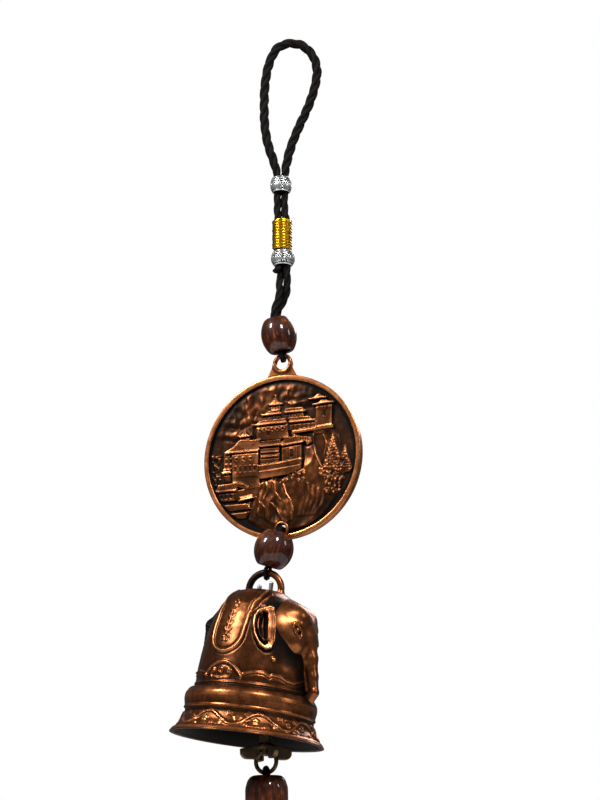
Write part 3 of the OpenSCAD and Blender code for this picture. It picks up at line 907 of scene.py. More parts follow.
def roof(r, left, right, ridge, level):
    """A tiled roof with a sagging slope and eaves that turn up at their ends."""
    (lu, lv), (ru, rv) = left, right
    sag = 0.12 * (ridge[0][1] - lv)
    bends = [(0.3, -0.05), (0.65, sag)]
    up_left = [between(left, ridge[0], share, drop) for share, drop in bends]
    down_right = [between(right, ridge[1], share, drop) for share, drop in reversed(bends)]
    r.fill([(lu, lv + EAVES_LIFT), *up_left, *ridge, *down_right, (ru, rv + EAVES_LIFT),
            (ru - 0.5, rv), (lu + 0.5, lv)], level, 0.22)
    count = max(2, int((ru - lu) / TILE))
    for k in range(1, count):
        r.line([between(left, right, k / count, -0.2), between(*ridge, k / count)], 0.17, -0.09)
    eaves = [(lu, lv + EAVES_LIFT), (lu + 0.7, lv + 0.1), (ru - 0.7, rv + 0.1), (ru, rv + EAVES_LIFT)]
    r.line(eaves, 0.34, 0.24)
    r.line(ridge, 0.34, 0.22)
    r.line([(lu + 0.6, lv - 0.4), (ru - 0.6, rv - 0.4)], 0.38, -0.42)


def rectangle(left, right, foot, top):
    return [(left, foot), (right, foot), (right, top), (left, top)]


def wall_of(r, left, right, foot, top, level):
    r.fill(rectangle(left, right, foot, top), level, 0.2)


def windows(r, places, v, w, h):
    """Sunk openings in a row, each with a raised frame and a bar."""
    for u in places:
        rim = rectangle(u - w / 2, u + w / 2, v - h / 2, v + h / 2)
        r.fill(rim, -0.35, 0.16, add=True)
        r.line(rim, 0.2, 0.14, closed=True)
        r.line([(u, v - h / 2), (u, v + h / 2)], 0.14, 0.22)


def round_windows(r, places, v):
    radius = 0.62
    for u in places:
        r.dot((u, v), radius * 0.9, -0.3)
        r.ring((u, v), radius, 0.22, 0.22)


def posts(r, places, foot, top, width, rise):
    for u in places:
        r.line([(u, foot), (u, top)], width, rise)


def ridges(r, lines, width, rise):
    for line in lines:
        r.line(line, width, rise)


def tree(r, apex, left, right, level, seed):
    """A conifer of small overlapping tufts."""
    foot = [(right[0] - 0.8, right[1] - 1.2), (left[0] + 0.8, left[1] - 1.2)]
    r.fill([apex, right, *foot, left], level - 0.3, 0.5)
    pick = np.random.RandomState(seed)
    spacing = 0.85
    rows = int((apex[1] - left[1]) / spacing)
    for k in range(rows + 1):
        share = (k + 0.4) / (rows + 0.4)
        start, v = between(apex, left, share)
        end, _ = between(apex, right, share)
        for u in np.arange(start, end + 0.01, spacing):
            at = (u + pick.uniform(-0.2, 0.2), v + pick.uniform(-0.2, 0.2))
            r.dot(at, pick.uniform(0.4, 0.58), pick.uniform(0.25, 0.5))


def foliage(r, low, high, count, seed):
    """Leafy lumps scattered over an upright rectangle."""
    pick = np.random.RandomState(seed)
    for _ in range(count):
        at = (pick.uniform(low[0], high[0]), pick.uniform(low[1], high[1]))
        r.dot(at, pick.uniform(0.4, 0.75), pick.uniform(0.25, 0.5))


def rocky(base, size, depth, seed):
    """A level that varies like weathered rock."""
    def level(x, y):
        p = flat_points(x, y * 0.55)
        crag = 1 - np.abs(layered(p, size, 3, seed))
        return base + depth * (crag - 0.6) + 0.05 * noise(p, size * 0.22, seed + 5)
    return level


def hillside(r):
    """Clouds behind, then the rocks and slopes that the halls stand on."""
    sky = [(-22, 3), (-23.5, 9), (-20, 15.5), (-14.5, 20.6), (-7, 24.2), (3, 25), (11, 22.8),
           (11, 19), (6, 16), (2, 14), (-8, 9), (-12, 4)]
    r.fill(sky, rocky(0.26, 5.5, 0.5, 1), 3.2)
    clouds = [[(-19, 13), (-15, 12.2), (-11.5, 13.4), (-7.5, 12.4)],
              [(-17, 18), (-16.2, 14.6), (-17.4, 11.5)],
              [(-11.5, 21.6), (-10.4, 17.5), (-11.6, 14)], [(-21.5, 9), (-17, 8), (-13, 8.8)],
              [(1, 20.8), (4.5, 19.8), (8.5, 20.6)], [(3.6, 17.6), (7, 18.3), (9.6, 17.5)]]
    for line in clouds:
        r.line(line, 1.7, 0.16)
        r.line([(u + 0.7, v - 1.1) for u, v in line], 1.2, -0.12)

    right_rock = [(10.5, 9), (12, 4), (11.4, -1), (13, -6), (18, -12), (21, -11), (22.5, -5), (20, 6),
                  (17, 8.6)]
    r.fill(right_rock, rocky(0.3, 4.5, 0.35, 4), 0.8)
    cliff = [(-7, -7.4), (-2.2, -9.4), (2, -6.4), (7.5, -4.4), (8.6, 2.5), (10.6, 3.2), (12, -1),
             (14.5, -5.4), (18.2, -8.6), (19.4, -14.5), (15, -20.2), (8.4, -24), (1.5, -25.2),
             (-5.5, -24.2), (-12, -20.6), (-10.5, -15)]
    r.fill(cliff, rocky(0.5, 6, 0.4, 8), 1.1)
    spur = [(-8.4, -8.6), (-3, -7.2), (0.4, -9), (1.2, -12), (3.2, -15.6), (3.8, -21), (1.2, -23.6),
            (-4, -22), (-9, -18.4), (-8, -13)]
    r.fill(spur, rocky(0.74, 3.4, 0.36, 12), 0.7)
    r.line([(0.6, -9.4), (1.6, -12.6), (3.2, -15), (3.9, -18.4), (3.6, -21.6)], 0.42, 0.3)
    ridges(r, [[(-5.6, -8), (-5, -11), (-6.2, -14)], [(-2.4, -8.6), (-2.2, -12), (-0.4, -14.6)],
               [(-3.4, -15.6), (-1, -18.6), (0.6, -21.6)], [(-7.4, -15), (-5.6, -17.4), (-5.2, -20)]],
           0.5, 0.24)
    foliage(r, (-3.4, -8.6), (8.4, -4.6), 26, 5)
    ridges(r, [[(7.6 + 1.9 * k, -9 - k), (7.9 + 1.7 * k, -14 - 0.6 * k), (6.4 + 1.4 * k, -20)]
               for k in range(5)], 0.9, 0.09)

    gorge = [(11.3, 7), (14.8, 7), (15.6, 3), (14.8, -1), (14.6, -4.4), (12.8, -1.4), (11.6, 2.4)]
    r.fill(gorge, -0.1, 0.4)
    r.line([(11.2, 6.6), (11.2, 3), (12.4, -0.8), (14.2, -4.4)], 0.4, 0.35)
    r.line([(14.6, 6.4), (15.6, 3.4), (14.8, -1.6)], 0.4, 0.3)


def upper_halls(r):
    wall_of(r, -3.7, -0.5, 15.6, 18, 0.9)
    windows(r, (-3.1, -2.1, -1.1), 16.9, 0.45, 1.1)
    roof(r, (-4.7, 17.8), (0.5, 17.9), ((-2.5, 19.9), (-1.7, 19.9)), 1.05)
    posts(r, [-2.1], 19.9, 21.1, 0.34, 0.8)
    wall_of(r, -5.5, 7.8, 12.4, 14.8, 0.72)
    windows(r, np.arange(-4.8, 0, 0.95), 13.4, 0.5, 1.1)
    windows(r, np.arange(2.4, 7.4, 0.95), 13.5, 0.5, 1.1)
    roof(r, (0.6, 14.7), (8.7, 14.8), ((1.5, 16.2), (7.3, 16.3)), 0.95)
    roof(r, (-7.3, 14.5), (0.2, 14.6), ((-4.9, 15.8), (-0.9, 16)), 1.05)
    wall_of(r, 2, 12.4, 8.8, 11.3, 0.6)
    posts(r, np.arange(4, 12, 1.5), 9.2, 10.9, 0.3, 0.14)
    roof(r, (2.4, 11.3), (12.2, 11.4), ((3, 13), (9.9, 13)), 0.92)
    wall_of(r, -9, 2.3, 6.6, 11.3, 0.95)
    r.fill([(-9.4, 6), (-8.6, 8), (2.4, 8), (3, 6)], 0.95, 0.4)
    roof(r, (-10.3, 11.3), (2.4, 11.4), ((-7.8, 12.8), (1.4, 12.8)), 1.15)
    round_windows(r, (-7.8, -6.1, -3.2, -1.4, 0.5), 9.5)
    windows(r, [-4.7], 8.3, 1.1, 1.7)


def watch_tower(r):
    """The tower on the right, the bridge to it and the steps below the bridge."""
    wall_of(r, 12.2, 17.9, 8.6, 16.6, 0.85)
    posts(r, (12.2, 17.9), 8.8, 16.2, 0.3, 0.2)
    posts(r, (13.2, 14.6, 16, 17.2), 15.2, 16.2, 0.3, 0.2)
    windows(r, [15.2], 13.6, 1.1, 2.2)
    roof(r, (10.9, 16.6), (18.9, 17), ((14, 18.1), (15.9, 18.3)), 1.08)
    roof(r, (9.4, 18.6), (16.2, 18.8), ((12.6, 20.3), (13.7, 20.4)), 1.0)
    r.fill([(3.6, 7.4), (11, 8), (18.4, 8.6), (18.4, 9.5), (11, 8.9), (3.8, 8.6)], 1.0, 0.3)
    r.line([(4, 8.7), (11, 9), (18.3, 9.6)], 0.25, 0.15)
    r.fill([(3.2, 8), (7, 6.5), (10.6, 5.9), (10.8, 4.2), (9, 3.2), (8.6, 4.4), (4.4, 6)], 0.95, 0.35)
    ridges(r, [[(4.4 + 0.85 * k, 7.3 - 0.3 * k), (4.6 + 0.85 * k, 6 - 0.22 * k)] for k in range(7)],
           0.2, -0.14)


def lower_halls(r):
    wall_of(r, -15, -11.4, 6, 8.4, 0.95)
    roof(r, (-15.6, 7.8), (-10.8, 7.9), ((-13.6, 9.4), (-12.8, 9.4)), 1.08)
    posts(r, [-13.2], 9.4, 10.4, 0.3, 0.7)
    wall_of(r, -20.8, -16.6, -3, 2.9, 0.75)
    for v in (1.5, -0.3, -2):
        windows(r, (-19.8, -18.2), v, 0.8, 1.1)
    wall_of(r, -7.8, -0.8, -3, 4.4, 0.62)
    for v in (2, 0.5):
        r.line([(-7.2, v), (-1.2, v)], 0.3, 0.3)
        r.line([(-7.2, v - 0.6), (-1.2, v - 0.6)], 0.35, -0.3)
    wall_of(r, 0, 7.2, -1.8, 3.8, 0.72)
    posts(r, (0.5, 2, 5.4, 6.9), -1.6, 3.4, 0.28, 0.26)
    windows(r, [3.6], 1, 1.3, 2.8)
    roof(r, (-0.3, 3.6), (8.1, 4.2), ((1, 6.4), (5.7, 6.4)), 1.12)
    roof(r, (-8.2, 3.9), (0.4, 4), ((-7.4, 5.8), (-0.2, 5.9)), 1.0)
    wall_of(r, -17.4, -8.2, -8.4, 2.9, 1.12)
    posts(r, (-17.4, -8.2), -8, 2.4, 0.3, 0.2)
    round_windows(r, (-15.9, -13.4, -10.9), 0.2)
    windows(r, (-16.4, -14.6, -12.8, -11, -9.4), -3.2, 0.8, 1.9)
    r.fill([(-17.6, -8.6), (-17.4, -6), (-8, -6), (-7.4, -9.6), (-12, -10.2)], 1.05, 0.6)
    roof(r, (-20.6, 2.6), (-7.9, 2.6), ((-15.4, 6.6), (-7.6, 6.4)), 1.2)
    r.fill([(-8.2, -2.2), (7.4, -0.9), (7, -4.6), (2, -6.2), (-8.2, -7)], 0.95, 0.35)
    r.line([(-8, -2.6), (0, -2), (7.3, -1.2)], 0.36, 0.3)
    r.line([(-7.8, -4.2), (0, -3.6), (7, -3)], 0.26, -0.2)


def small_houses(r):
    """The houses and terraces at the lower left."""
    roof(r, (-21.6, -4.2), (-17.6, -4.1), ((-20.8, -2.8), (-18.6, -2.8)), 1.0)
    r.fill([(-21, -4.6), (-17.8, -4.6), (-18, -7.2), (-20.4, -7.2)], 0.2, 0.4)
    r.fill([(-23, -13.4), (-12.4, -13.4), (-8.4, -12), (-7.6, -9.6), (-13, -9.8), (-16.4, -10)], 0.75, 0.6)
    wall_of(r, -22.6, -16.6, -13.6, -10.6, 0.9)
    windows(r, (-21.4, -19.8, -18.2), -12.2, 0.9, 1.5)
    roof(r, (-24.4, -10.6), (-15.8, -10.4), ((-22.6, -7.9), (-15.6, -7.7)), 1.15)
    r.line([(-15.7, -7.8), (-13.4, -8.2), (-12, -9.4)], 0.5, 0.45)
    roof(r, (-15.8, -14), (-9.4, -13.2), ((-14.6, -12.9), (-10.4, -12.4)), 1.05)
    posts(r, (-14.4, -13, -11.6), -14, -15.8, 0.3, 0.4)
    r.fill([(-21.8, -14.8), (-12, -14.8), (-11, -16.8), (-19, -17)], 0.72, 0.5)
    r.fill([(-18.8, -17.8), (-11.6, -17.6), (-12.6, -19.8), (-16, -19.8)], 0.66, 0.5)
    r.line([(-20.8, -14.7), (-12, -14.7)], 0.3, 0.25)
    r.line([(-18.2, -17.6), (-11.8, -17.5)], 0.3, 0.22)


def hill_temple():
    """The front of the medallion: a generic temple on a hillside, back to front."""
    r = Relief((-28, -28), (28, 28), 0.11)
    r.h += 0.05 * layered(flat_points(r.x, r.y), 5, 3, 3)
    hillside(r)
    upper_halls(r)
    watch_tower(r)
    lower_halls(r)
    small_houses(r)
    foliage(r, (-25, -8.6), (-22.2, 2.6), 46, 11)
    foliage(r, (13.5, -9.4), (22.4, -5), 60, 12)
    foliage(r, (15.4, -13.6), (20.6, -9), 34, 13)
    tree(r, (22.4, 2), (19.4, -6), (25, -5.6), 0.9, 14)
    tree(r, (18.1, 6.4), (14.8, -4.8), (21.7, -4.6), 1.0, 15)
    return r


def lotus_back():
    """The back of the medallion: a plain lotus rosette in two rings of petals."""
    r = Relief((-28, -28), (28, 28), 0.2)
    r.h += 0.2 + 0.03 * layered(flat_points(r.x, r.y), 4, 3, 21)
    for count, inner, outer, level in ((12, 9, 20, 0.55), (8, 3, 12.5, 0.85)):
        for k in range(count):
            a = TAU * (k + 0.5 * (count == 12)) / count
            out, side = np.array([math.cos(a), math.sin(a)]), np.array([-math.sin(a), math.cos(a)])
            wide = outer * math.sin(math.pi / count) * 0.8
            petal = [tuple(out * (inner + (outer - inner) * t) + side * wide * w)
                     for t, w in ((0, 0.2), (0.35, 0.7), (0.65, 0.95), (0.85, 0.6), (1, 0),
                                  (0.85, -0.6), (0.65, -0.95), (0.35, -0.7), (0, -0.2))]
            r.fill(petal, level, 0.5)
            r.line(petal, 0.45, 0.22, closed=True)
            r.line([tuple(out * (inner + 1)), tuple(out * (outer - 2.4))], 0.4, 0.16)
    r.fill(circle((0, 0), 3.4, 24), 1.05, 0.4)
    for at in [*circle((0, 0), 2, 6), (0, 0)]:
        r.dot(at, 0.55, 0.3)
    r.ring((0, 0), 22.6, 0.4, 0.3)
    return r


def wear_map(r, size, full):
    """0.5 on level ground, more on what stands up and less in what lies deep."""
    return 0.56 + (r.h - r.blurred(size)) / full * 0.5


FIELD = 0.42      # half the disc's thickness inside the rim
FIELD_R = 25.9
RIM = 1.36        # half the rim's thickness


def medallion_outline():
    """The front from its middle outwards, the rim and the back, as three lines."""
    front = [(t, FIELD) for t in np.linspace(0.05, FIELD_R, 152)]
    rim = soft_line([(FIELD_R, FIELD), (26.15, FIELD), (26.3, RIM), (27.85, RIM), (27.88, -RIM),
                     (26.3, -RIM), (26.15, -FIELD), (FIELD_R, -FIELD)], 0.24, 0.16)[1:-1]
    back = [(t, -FIELD) for t in np.linspace(FIELD_R, 0.05, 40)]
    return front, rim, back


def medallion_disc(hole):
    """The disc with its two reliefs, open round the foot hole."""
    columns = 520
    lines = medallion_outline()
    outline = np.vstack(lines)
    radius = outline[:, :1]
    angle = np.arange(columns) * TAU / columns
    u, v = radius * np.cos(angle), radius * np.sin(angle)
    front, rear = hill_temple(), lotus_back()
    rows = np.arange(len(outline))[:, None]
    is_front, is_back = rows < len(lines[0]), rows >= len(outline) - len(lines[2])
    fade = ramp_up((26 - radius) / 0.6)
    height = np.where(is_front, front.sample(front.h, u, v) * 0.98 * fade, 0)
    height = np.where(is_back, rear.sample(rear.h, u, v) * 0.9 * fade, height)
    # Random mottling, and a darkening towards the rim from 17 mm out from the middle.
    mottling_and_rim_darkening = 0.14 * layered(flat_points(u, v), 7, 3, 41) - 0.2 * ramp_up((radius - 17) / 8)
    worn = np.where(is_front, front.sample(wear_map(front, 2.4, 0.6), u, v) - 0.1 + mottling_and_rim_darkening, 0.78)
    worn = np.where(is_back, rear.sample(wear_map(rear, 3, 0.8), u, v), worn)
    ditch = np.exp(-((26.0 - radius) / 0.75) ** 2) * (radius < 26.25)
    points, faces, wear = lathe(outline, columns, height, worn - 0.6 * ditch)
    reach = np.hypot(points[:, 0], points[:, 1] - hole)
    return points, [f[(reach[f] > 1.75).all(1)] for f in faces], wear


def foot_ring(hole):
    """The raised ring whose wall lines the foot hole."""
    upper = [(1.5, 0.9), (1.75, 1.4), (2.35, 1.4), (2.6, 0.9)]
    lower = [(r, -h) for r, h in reversed(upper)]
    points, faces, _ = lathe(soft_line([(1.5, 0), *upper, *lower, (1.5, 0)], 0.12, 0.16), 64)
    return points + (0, hole, 0), faces, 0.45 + 0.3 * ramp_up((points[:, 2] - 0.4) / 0.9)


def cast_eye(height):
    """The eye at that height over the medallion's middle: a ring on a neck that widens downwards."""
    middle = np.array([0, height, 0])
    ring_r, wire_r, bore_r = 2.82, 0.76, 2.0
    foot = MEDAL_R - 1 - height

    def eye(p):
        q = p - middle
        ring = np.hypot(np.hypot(q[:, 0], q[:, 1]) - ring_r, q[:, 2]) - wire_r
        run = np.clip(-q[:, 1] / 4.1, 0, 1)
        half = 3.1 + 2.0 * run
        thick = 0.66 + 0.12 * run
        upright = np.maximum(q[:, 1] + 0.3, foot - q[:, 1] - 0.3)
        neck = np.maximum(np.abs(q[:, 0]) - half, np.maximum(np.abs(q[:, 2]) - thick, upright))
        return cut_by(together(ring, neck * 0.9, 0.7), np.hypot(q[:, 0], q[:, 1]) - bore_r, 0.3)

    points, faces = surface_of(eye, middle + (-6.4, -8.6, -1.8), middle + (6.4, 4.4, 1.8), 0.2)
    return points, faces, 0.62 + 0.5 * np.clip(hollowness(eye, points, 0.5), -0.8, 0.4)


def make_medallion(copper):
    low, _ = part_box("medallion")
    centre = Vector((CHAIN.translation.x, CHAIN.translation.y, low[2] / MM + MEDAL_R))
    place = frame_at(centre, RIGHT, -BACK)
    hole = place_of("link_swing").z - centre.z
    shape = Shape().add(*medallion_disc(hole)).add(*foot_ring(hole))
    shape.build("medallion_cast", "medallion", "copper", copper, place, ["medallion"])
    eye = Shape().add(*cast_eye(-112.6 - centre.z))
    eye.build("medallion_eye", "medallion", "copper", copper, place)


# ---- bell ------------------------------------------------------------------------------------

# radius and depth of the bell's outside, from the crown to the lip
OUTER_LINE = [(6.5, 0), (8.5, 1.2), (10.5, 2.6), (12.1, 4.2), (13.4, 6), (15, 9.5), (16.4, 14),
              (17.6, 20), (18.4, 27), (18.7, 33), (20.4, 34), (21.4, 35.6), (21.6, 37.2), (21.3, 39),
              (20.9, 40.8), (21.2, 42.6), (22, 44.6), (23.4, 46.6), (25.2, 48.5)]
# depth and wear of its outside: brighter on the bands and the lip, darker in the grooves beside them
WORN_BY_DEPTH = [(0, -0.1), (6, -0.04), (26, -0.08), (31.5, -0.06), (33.2, -0.3), (34.5, 0), (37, 0.1),
                 (39.2, 0.0), (40.6, -0.16), (43, -0.02), (47, 0.05), (48.5, 0.14)]
WALL = 1.6
PER_DEGREE = 0.3      # millimetres of the relief's map to a degree round the bell
TRUE_R = 17.2         # the radius where that is the true length


def wall_radius(depth):
    return np.interp(depth, [h for _, h in OUTER_LINE], [r for r, _ in OUTER_LINE])


def on_wall(azimuth, depth, u=0.0):
    """A place on the bell's relief: degrees round, millimetres down and millimetres along."""
    settle = 0.85     # the tall wall's and the lip's ornament sits this much lower than it is given
    if 3 < depth < 31 or 40.7 < depth < 46.5:
        depth = depth + settle
    return (azimuth * PER_DEGREE + u * TRUE_R / wall_radius(depth), -depth)


def on_side(side, points):
    """Places on the relief from degrees round and millimetres down, mirrored where side is -1."""
    return [(side * x, y) for x, y in (on_wall(a, h) for a, h in points)]


def shrunk(points, share):
    mid = np.mean(points, axis=0)
    return [tuple(mid + share * (np.array(p) - mid)) for p in points]


def rosette(r, at, size):
    """A flower of five petals."""
    for petal in circle(at, size * 0.66, 5, 0.3):
        r.dot(petal, size * 0.5, 0.34)
    r.dot(at, size * 0.34, 0.3)


def plaque(r, azimuth, side):
    def spot(u, h):
        x, y = on_wall(azimuth, h, u)
        return (side * x, y)

    def tongue(half, foot):
        """Straight sides and a round foot."""
        right_side = [(half, 0.9), (half, 5), (half, 10)]
        arc = [(half * math.cos(a), foot - half + half * math.sin(a)) for a in np.linspace(0, math.pi, 17)]
        left_side = [(-u, h) for u, h in reversed(right_side)]
        return [spot(u, h) for u, h in right_side + arc + left_side]

    r.fill(tongue(6.3, 22.4), 0.32, 0.3)
    r.line(tongue(5.75, 21.7), 0.62, 0.42)
    r.fill(tongue(5.0, 20.9), 0.34, 0.25)
    r.line(tongue(5.0, 20.9), 0.26, -0.3)
    r.line(tongue(6.5, 22.6), 0.3, -0.2)
    r.line([spot(8.8, 2), spot(7.9, 4.2), spot(7.8, 6.2), spot(6.4, 8.4), spot(6.6, 10)], 0.45, 0.5)
    r.line([spot(0, 5.4), spot(0, 16.4)], 0.3, 0.4)
    for h in (8.2, 10.6, 13.0, 15.2):
        for turn in (-1, 1):
            leaf = [(0.1, 0.5), (0.8, 0.2), (1.5, -0.9), (1.6, -1.5), (0.9, -1.1), (0.25, -0.3)]
            r.fill([spot(turn * u, h + lift) for u, lift in leaf], 0.5, 0.2)
    for h in (5.3, 17.3):
        r.dot(spot(0, h), 2, -0.2)
        rosette(r, spot(0, h), 1.45)


def ear(r, side):
    edge = on_side(side, [(-63, 6.6), (-57, 6), (-52.6, 6.5), (-50.8, 9.6), (-50.6, 14), (-50.8, 17.6),
                          (-53, 19.7), (-59, 20.3), (-66, 19), (-71.8, 16.2), (-75.2, 12.8),
                          (-75.2, 9.6), (-71, 7.6)])
    r.fill(shrunk(edge, 1.16), -0.12, 0.7)
    r.fill(edge, 1.3, 0.3)
    r.line(shrunk(edge, 0.95), 0.42, 0.3, closed=True)
    hollow = [(-65, 7.9), (-60.8, 8.5), (-59.2, 12), (-58.6, 15.6), (-57.6, 18.2), (-61, 18.9),
              (-66.6, 17.5), (-71, 15), (-73, 12.2), (-72.6, 10), (-69.4, 8.4)]
    r.fill(on_side(side, hollow), -0.75, 0.35)
    for fold in ([(-67, 8.6), (-70.2, 10.2), (-70, 12.6), (-66.4, 15.6), (-61.6, 17.4)],
                 [(-66, 8.7), (-64, 10.2), (-64.4, 13), (-62.6, 15.4), (-60.4, 17.3)]):
        r.line(on_side(side, fold), 0.75, 0.8)


def borders(r, side):
    """The arch under the plaque and the wavy lines beside it."""
    def lines(points, width, rise):
        r.line(on_side(side, points), width, rise)

    arch = [(-120.5, 29.6), (-118.5, 27.9), (-114.5, 26.5), (-108, 25.4), (-101.5, 25), (-95, 25.3),
            (-89.6, 26.3), (-84.6, 27.9), (-80, 29.6)]
    lines(arch, 0.5, 0.6)
    lines([(a * 0.86 - 14, 0.8 * (h - 29.6) + 29.8) for a, h in arch], 0.3, -0.16)
    for a, turn in ((-111.6, 1), (-93.2, -1)):
        r.curl(on_side(side, [(a, 28.2)])[0], 0.85, 0.3, 0.45, side * turn, start=1.2)
    r.ring(on_side(side, [(-102.3, 27.9)])[0], 0.75, 0.34, 0.45)
    petal = [(-114.5, 28.8), (-113, 30.4), (-110, 30), (-107.4, 31.1), (-103.6, 30.6), (-99.6, 31.2),
             (-96.4, 30.2), (-93, 30.4), (-90.6, 28.9)]
    lines(petal, 0.36, 0.45)
    wave = [(-80, 29.6), (-77.6, 28.7), (-72, 28.1), (-63.5, 27.7), (-57, 27.9), (-51.5, 28.7),
            (-49, 28.1), (-42, 28.1), (-33, 29.2), (-24, 29.4), (-12, 28.3), (0, 28)]
    lines(wave, 0.4, 0.5)
    lines([(a, h + 1.05) for a, h in wave], 0.26, 0.26)
    lines([(a, h + 0.55) for a, h in wave], 0.25, -0.18)
    far_wave = [(-120.5, 29.6), (-124, 28.7), (-131, 28.1), (-140, 27.8), (-148, 28.7), (-152, 28.1),
                (-162, 27.8), (-180, 28)]
    lines(far_wave, 0.4, 0.5)
    lines([(a, h + 1.05) for a, h in far_wave], 0.26, 0.26)


def bell_relief():
    r = Relief((-55.2, -49.2), (55.2, 0.6), 0.12)
    for side in (-1, 1):
        plaque(r, -104, side)
        ear(r, side)
        borders(r, side)
        r.dot(on_side(side, [(49, 22.9)])[0], 0.8, 0.9)
    full = np.arange(-184, 184.1, 2)
    bands = [(32.5, 0.55, 0.35), (33.4, 0.3, -0.2), (40.1, 0.5, 0.42), (40.95, 0.35, -0.3),
             (47.4, 0.6, 0.22), (46.7, 0.3, -0.16)]
    for depth, width, rise in bands:
        r.line([on_wall(a, depth) for a in full[::10]], width, rise)
    r.line([on_wall(a, 43.35 - 2.1 * math.cos(math.radians(8 * (a + 103)))) for a in full], 0.5, 0.5)
    for k in range(9):
        crest = -193 + 45 * k
        for a, h, size in ((19, 41.7, 0.85), (26.5, 43.2, 0.95), (-3.5, 43.6, 0.95), (5.5, 45.4, 0.85)):
            rosette(r, on_wall(crest + a, h), size)
        for a, h, turn in ((35, 41.8, 1), (-12, 45.4, -1), (14, 44.6, 1)):
            r.curl(on_wall(crest + a, h), 0.85, 0.26, 0.36, turn)
    r.h += 0.03 * layered(flat_points(r.x, r.y), 3, 3, 31)
    return r


def bell_outline():
    """The crown, the outside, the lip and the inside, as four lines."""
    crown = [(t, 0) for t in np.linspace(0.1, 6, 6)]
    outer = soft_line([(6, 0)] + [(r, -h) for r, h in OUTER_LINE[:-1]] + [(25, -48.1)], 0.3, 0.3)
    lip = soft_line([(25, -48.1), (25.2, -48.5), (23.7, -48.5), (23.5, -48.2)], 0.2, 0.12)[1:-1]
    inner = [(r - WALL, -h) for r, h in OUTER_LINE[1:-1]][::-1]
    inner = soft_line([(23.5, -48.2), *inner[:-3], (9.5, -4.2), (6, -2.2), (0.1, -WALL)], 1.5, 0.4)
    return crown, outer, lip, inner


def painted_shade_round_head(points):
    """The painted shade round the head: 1 where the head touches the wall, down to 0 at 5 mm from it."""
    reach = 5
    near = np.full(len(points), 9.0)
    close = (points[:, 0] > 6) & (points[:, 2] > -36)
    near[close] = elephant(points[close])
    return np.clip(1 - near / reach, 0, 1)


def bell_wall(copper):
    r = bell_relief()
    columns = 400
    crown, outer, lip, inner = bell_outline()
    outline = np.vstack([crown, outer, lip, inner])
    angle = (np.arange(columns) * 360 / columns + 180) % 360 - 180
    depth = -outline[:, 1:]
    rows = np.arange(len(outline))[:, None]
    outside = (rows >= len(crown)) & (rows < len(crown) + len(outer))
    inside = rows >= len(outline) - len(inner)
    x = np.broadcast_to(angle[None] * PER_DEGREE, (len(outline), columns))
    y = np.broadcast_to(outline[:, 1:], x.shape)
    fade = ramp_up((outline[:, :1] - 6.2) / 1.5) * ramp_up((48.3 - depth) / 0.8)
    height = np.where(outside, r.sample(r.h, x, y) * fade, 0)
    worn = r.sample(wear_map(r, 2.4, 0.7), x, y) + np.interp(depth, *zip(*WORN_BY_DEPTH))
    points, _, _ = lathe(outline, columns, height)
    # Painted shade: the wall is darkened round the head, where the head meets it, fading in from 2 mm below
    # the crown.
    shade = painted_shade_round_head(points)[:x.size].reshape(x.shape)
    worn = np.where(outside, worn, 0.4) - 0.55 * shade * ramp_up((depth - 2) / 4)
    # The whole inside is given the darkest colour.
    worn = np.where(inside, -0.1, worn)
    shape = Shape().add(*lathe(outline, columns, height, worn))
    shape.build("bell_wall", "bell", "copper", copper, BELL, ["bell"])


def head_of(p, mirrored):
    """The head without its eyes. What it has on both sides comes from the mirrored points."""
    head = joined(ball(p, (6.3, 0, -14.4), 12.9),
                  (egg(mirrored, (12.7, 3.4, -8.6), (5.2, 4.6, 4.6)), 1.8),
                  (egg(mirrored, (13.8, 6.2, -11), (3.7, 2.6, 2.4)), 1.6),
                  (egg(mirrored, (14.4, 6.2, -16.4), (3.6, 3.0, 4.4)), 1.5),
                  (egg(p, (15.8, 0, -15), (3.7, 4.3, 7)), 1.8))
    head = cut_by(head, limb(mirrored, (18.8, 7.2, -13.6), (20, 3.4, -22), 0.7, 0.5), 0.8)
    return together(head, egg(p, (15.6, 0, -22.4), (3, 2.9, 2.6)), 1.2)


def eye_rim():
    """An almond round the eye, settled on the head's own surface."""
    middle, outward = np.array([16.5, 8.0, -13.2]), np.array([0.75, 0.66, 0])
    level, slant = np.array([-0.66, 0.75, 0]), np.array([-0.27, 0.3, 0.92])
    reach = np.arange(8, -8, -0.05)[:, None]
    rim = []
    for a in np.arange(16) * TAU / 16:
        across, along = 1.25 * math.cos(a) * abs(math.cos(a)), 2.5 * math.sin(a)
        line = middle + across * level + along * slant + reach * outward
        rim.append(line[np.argmax(head_of(line, line) < 0)])
    return rim


EYE_RIM = eye_rim()


def elephant(p):
    """The head and trunk, in the bell's frame: forward is +x."""
    mirrored = p * (1, 0, 1) + np.abs(p) * (0, 1, 0)
    trunk = joined(limb(p, (15.6, 0, -15.5), (18.2, 0, -20.8), 4.4, 2.9, 1.02),
                   (limb(p, (18.2, 0, -20.8), (19.9, 0, -26.6), 2.8, 2.1, 1.05), 0.9),
                   (limb(p, (19.9, 0, -26.6), (21, 0, -31.6), 2.1, 1.75, 1.05), 0.6),
                   (limb(p, (21, 0, -31.6), (19.6, 0, -34.2), 1.9, 1.9, 1.1), 0.5),
                   (limb(mirrored, (16.6, 2.5, -20.5), (19.3, 1.5, -31.5), 0.6, 0.6), 0.4))
    whole = together(head_of(p, mirrored), trunk, 1.3)
    middle = np.mean(EYE_RIM, axis=0)
    whole = cut_by(whole, egg(mirrored, middle + (0.3, 0.26, 0), (1.2, 1.2, 2.0)), 0.2)
    whole = together(whole, egg(mirrored, middle - (0.5, 0.45, 0), (0.9, 0.9, 1.2)), 0.1)
    for a, b in zip(EYE_RIM, EYE_RIM[1:] + EYE_RIM[:1]):
        whole = together(whole, limb(mirrored, a, b, 0.36, 0.36), 0.2)
    return whole


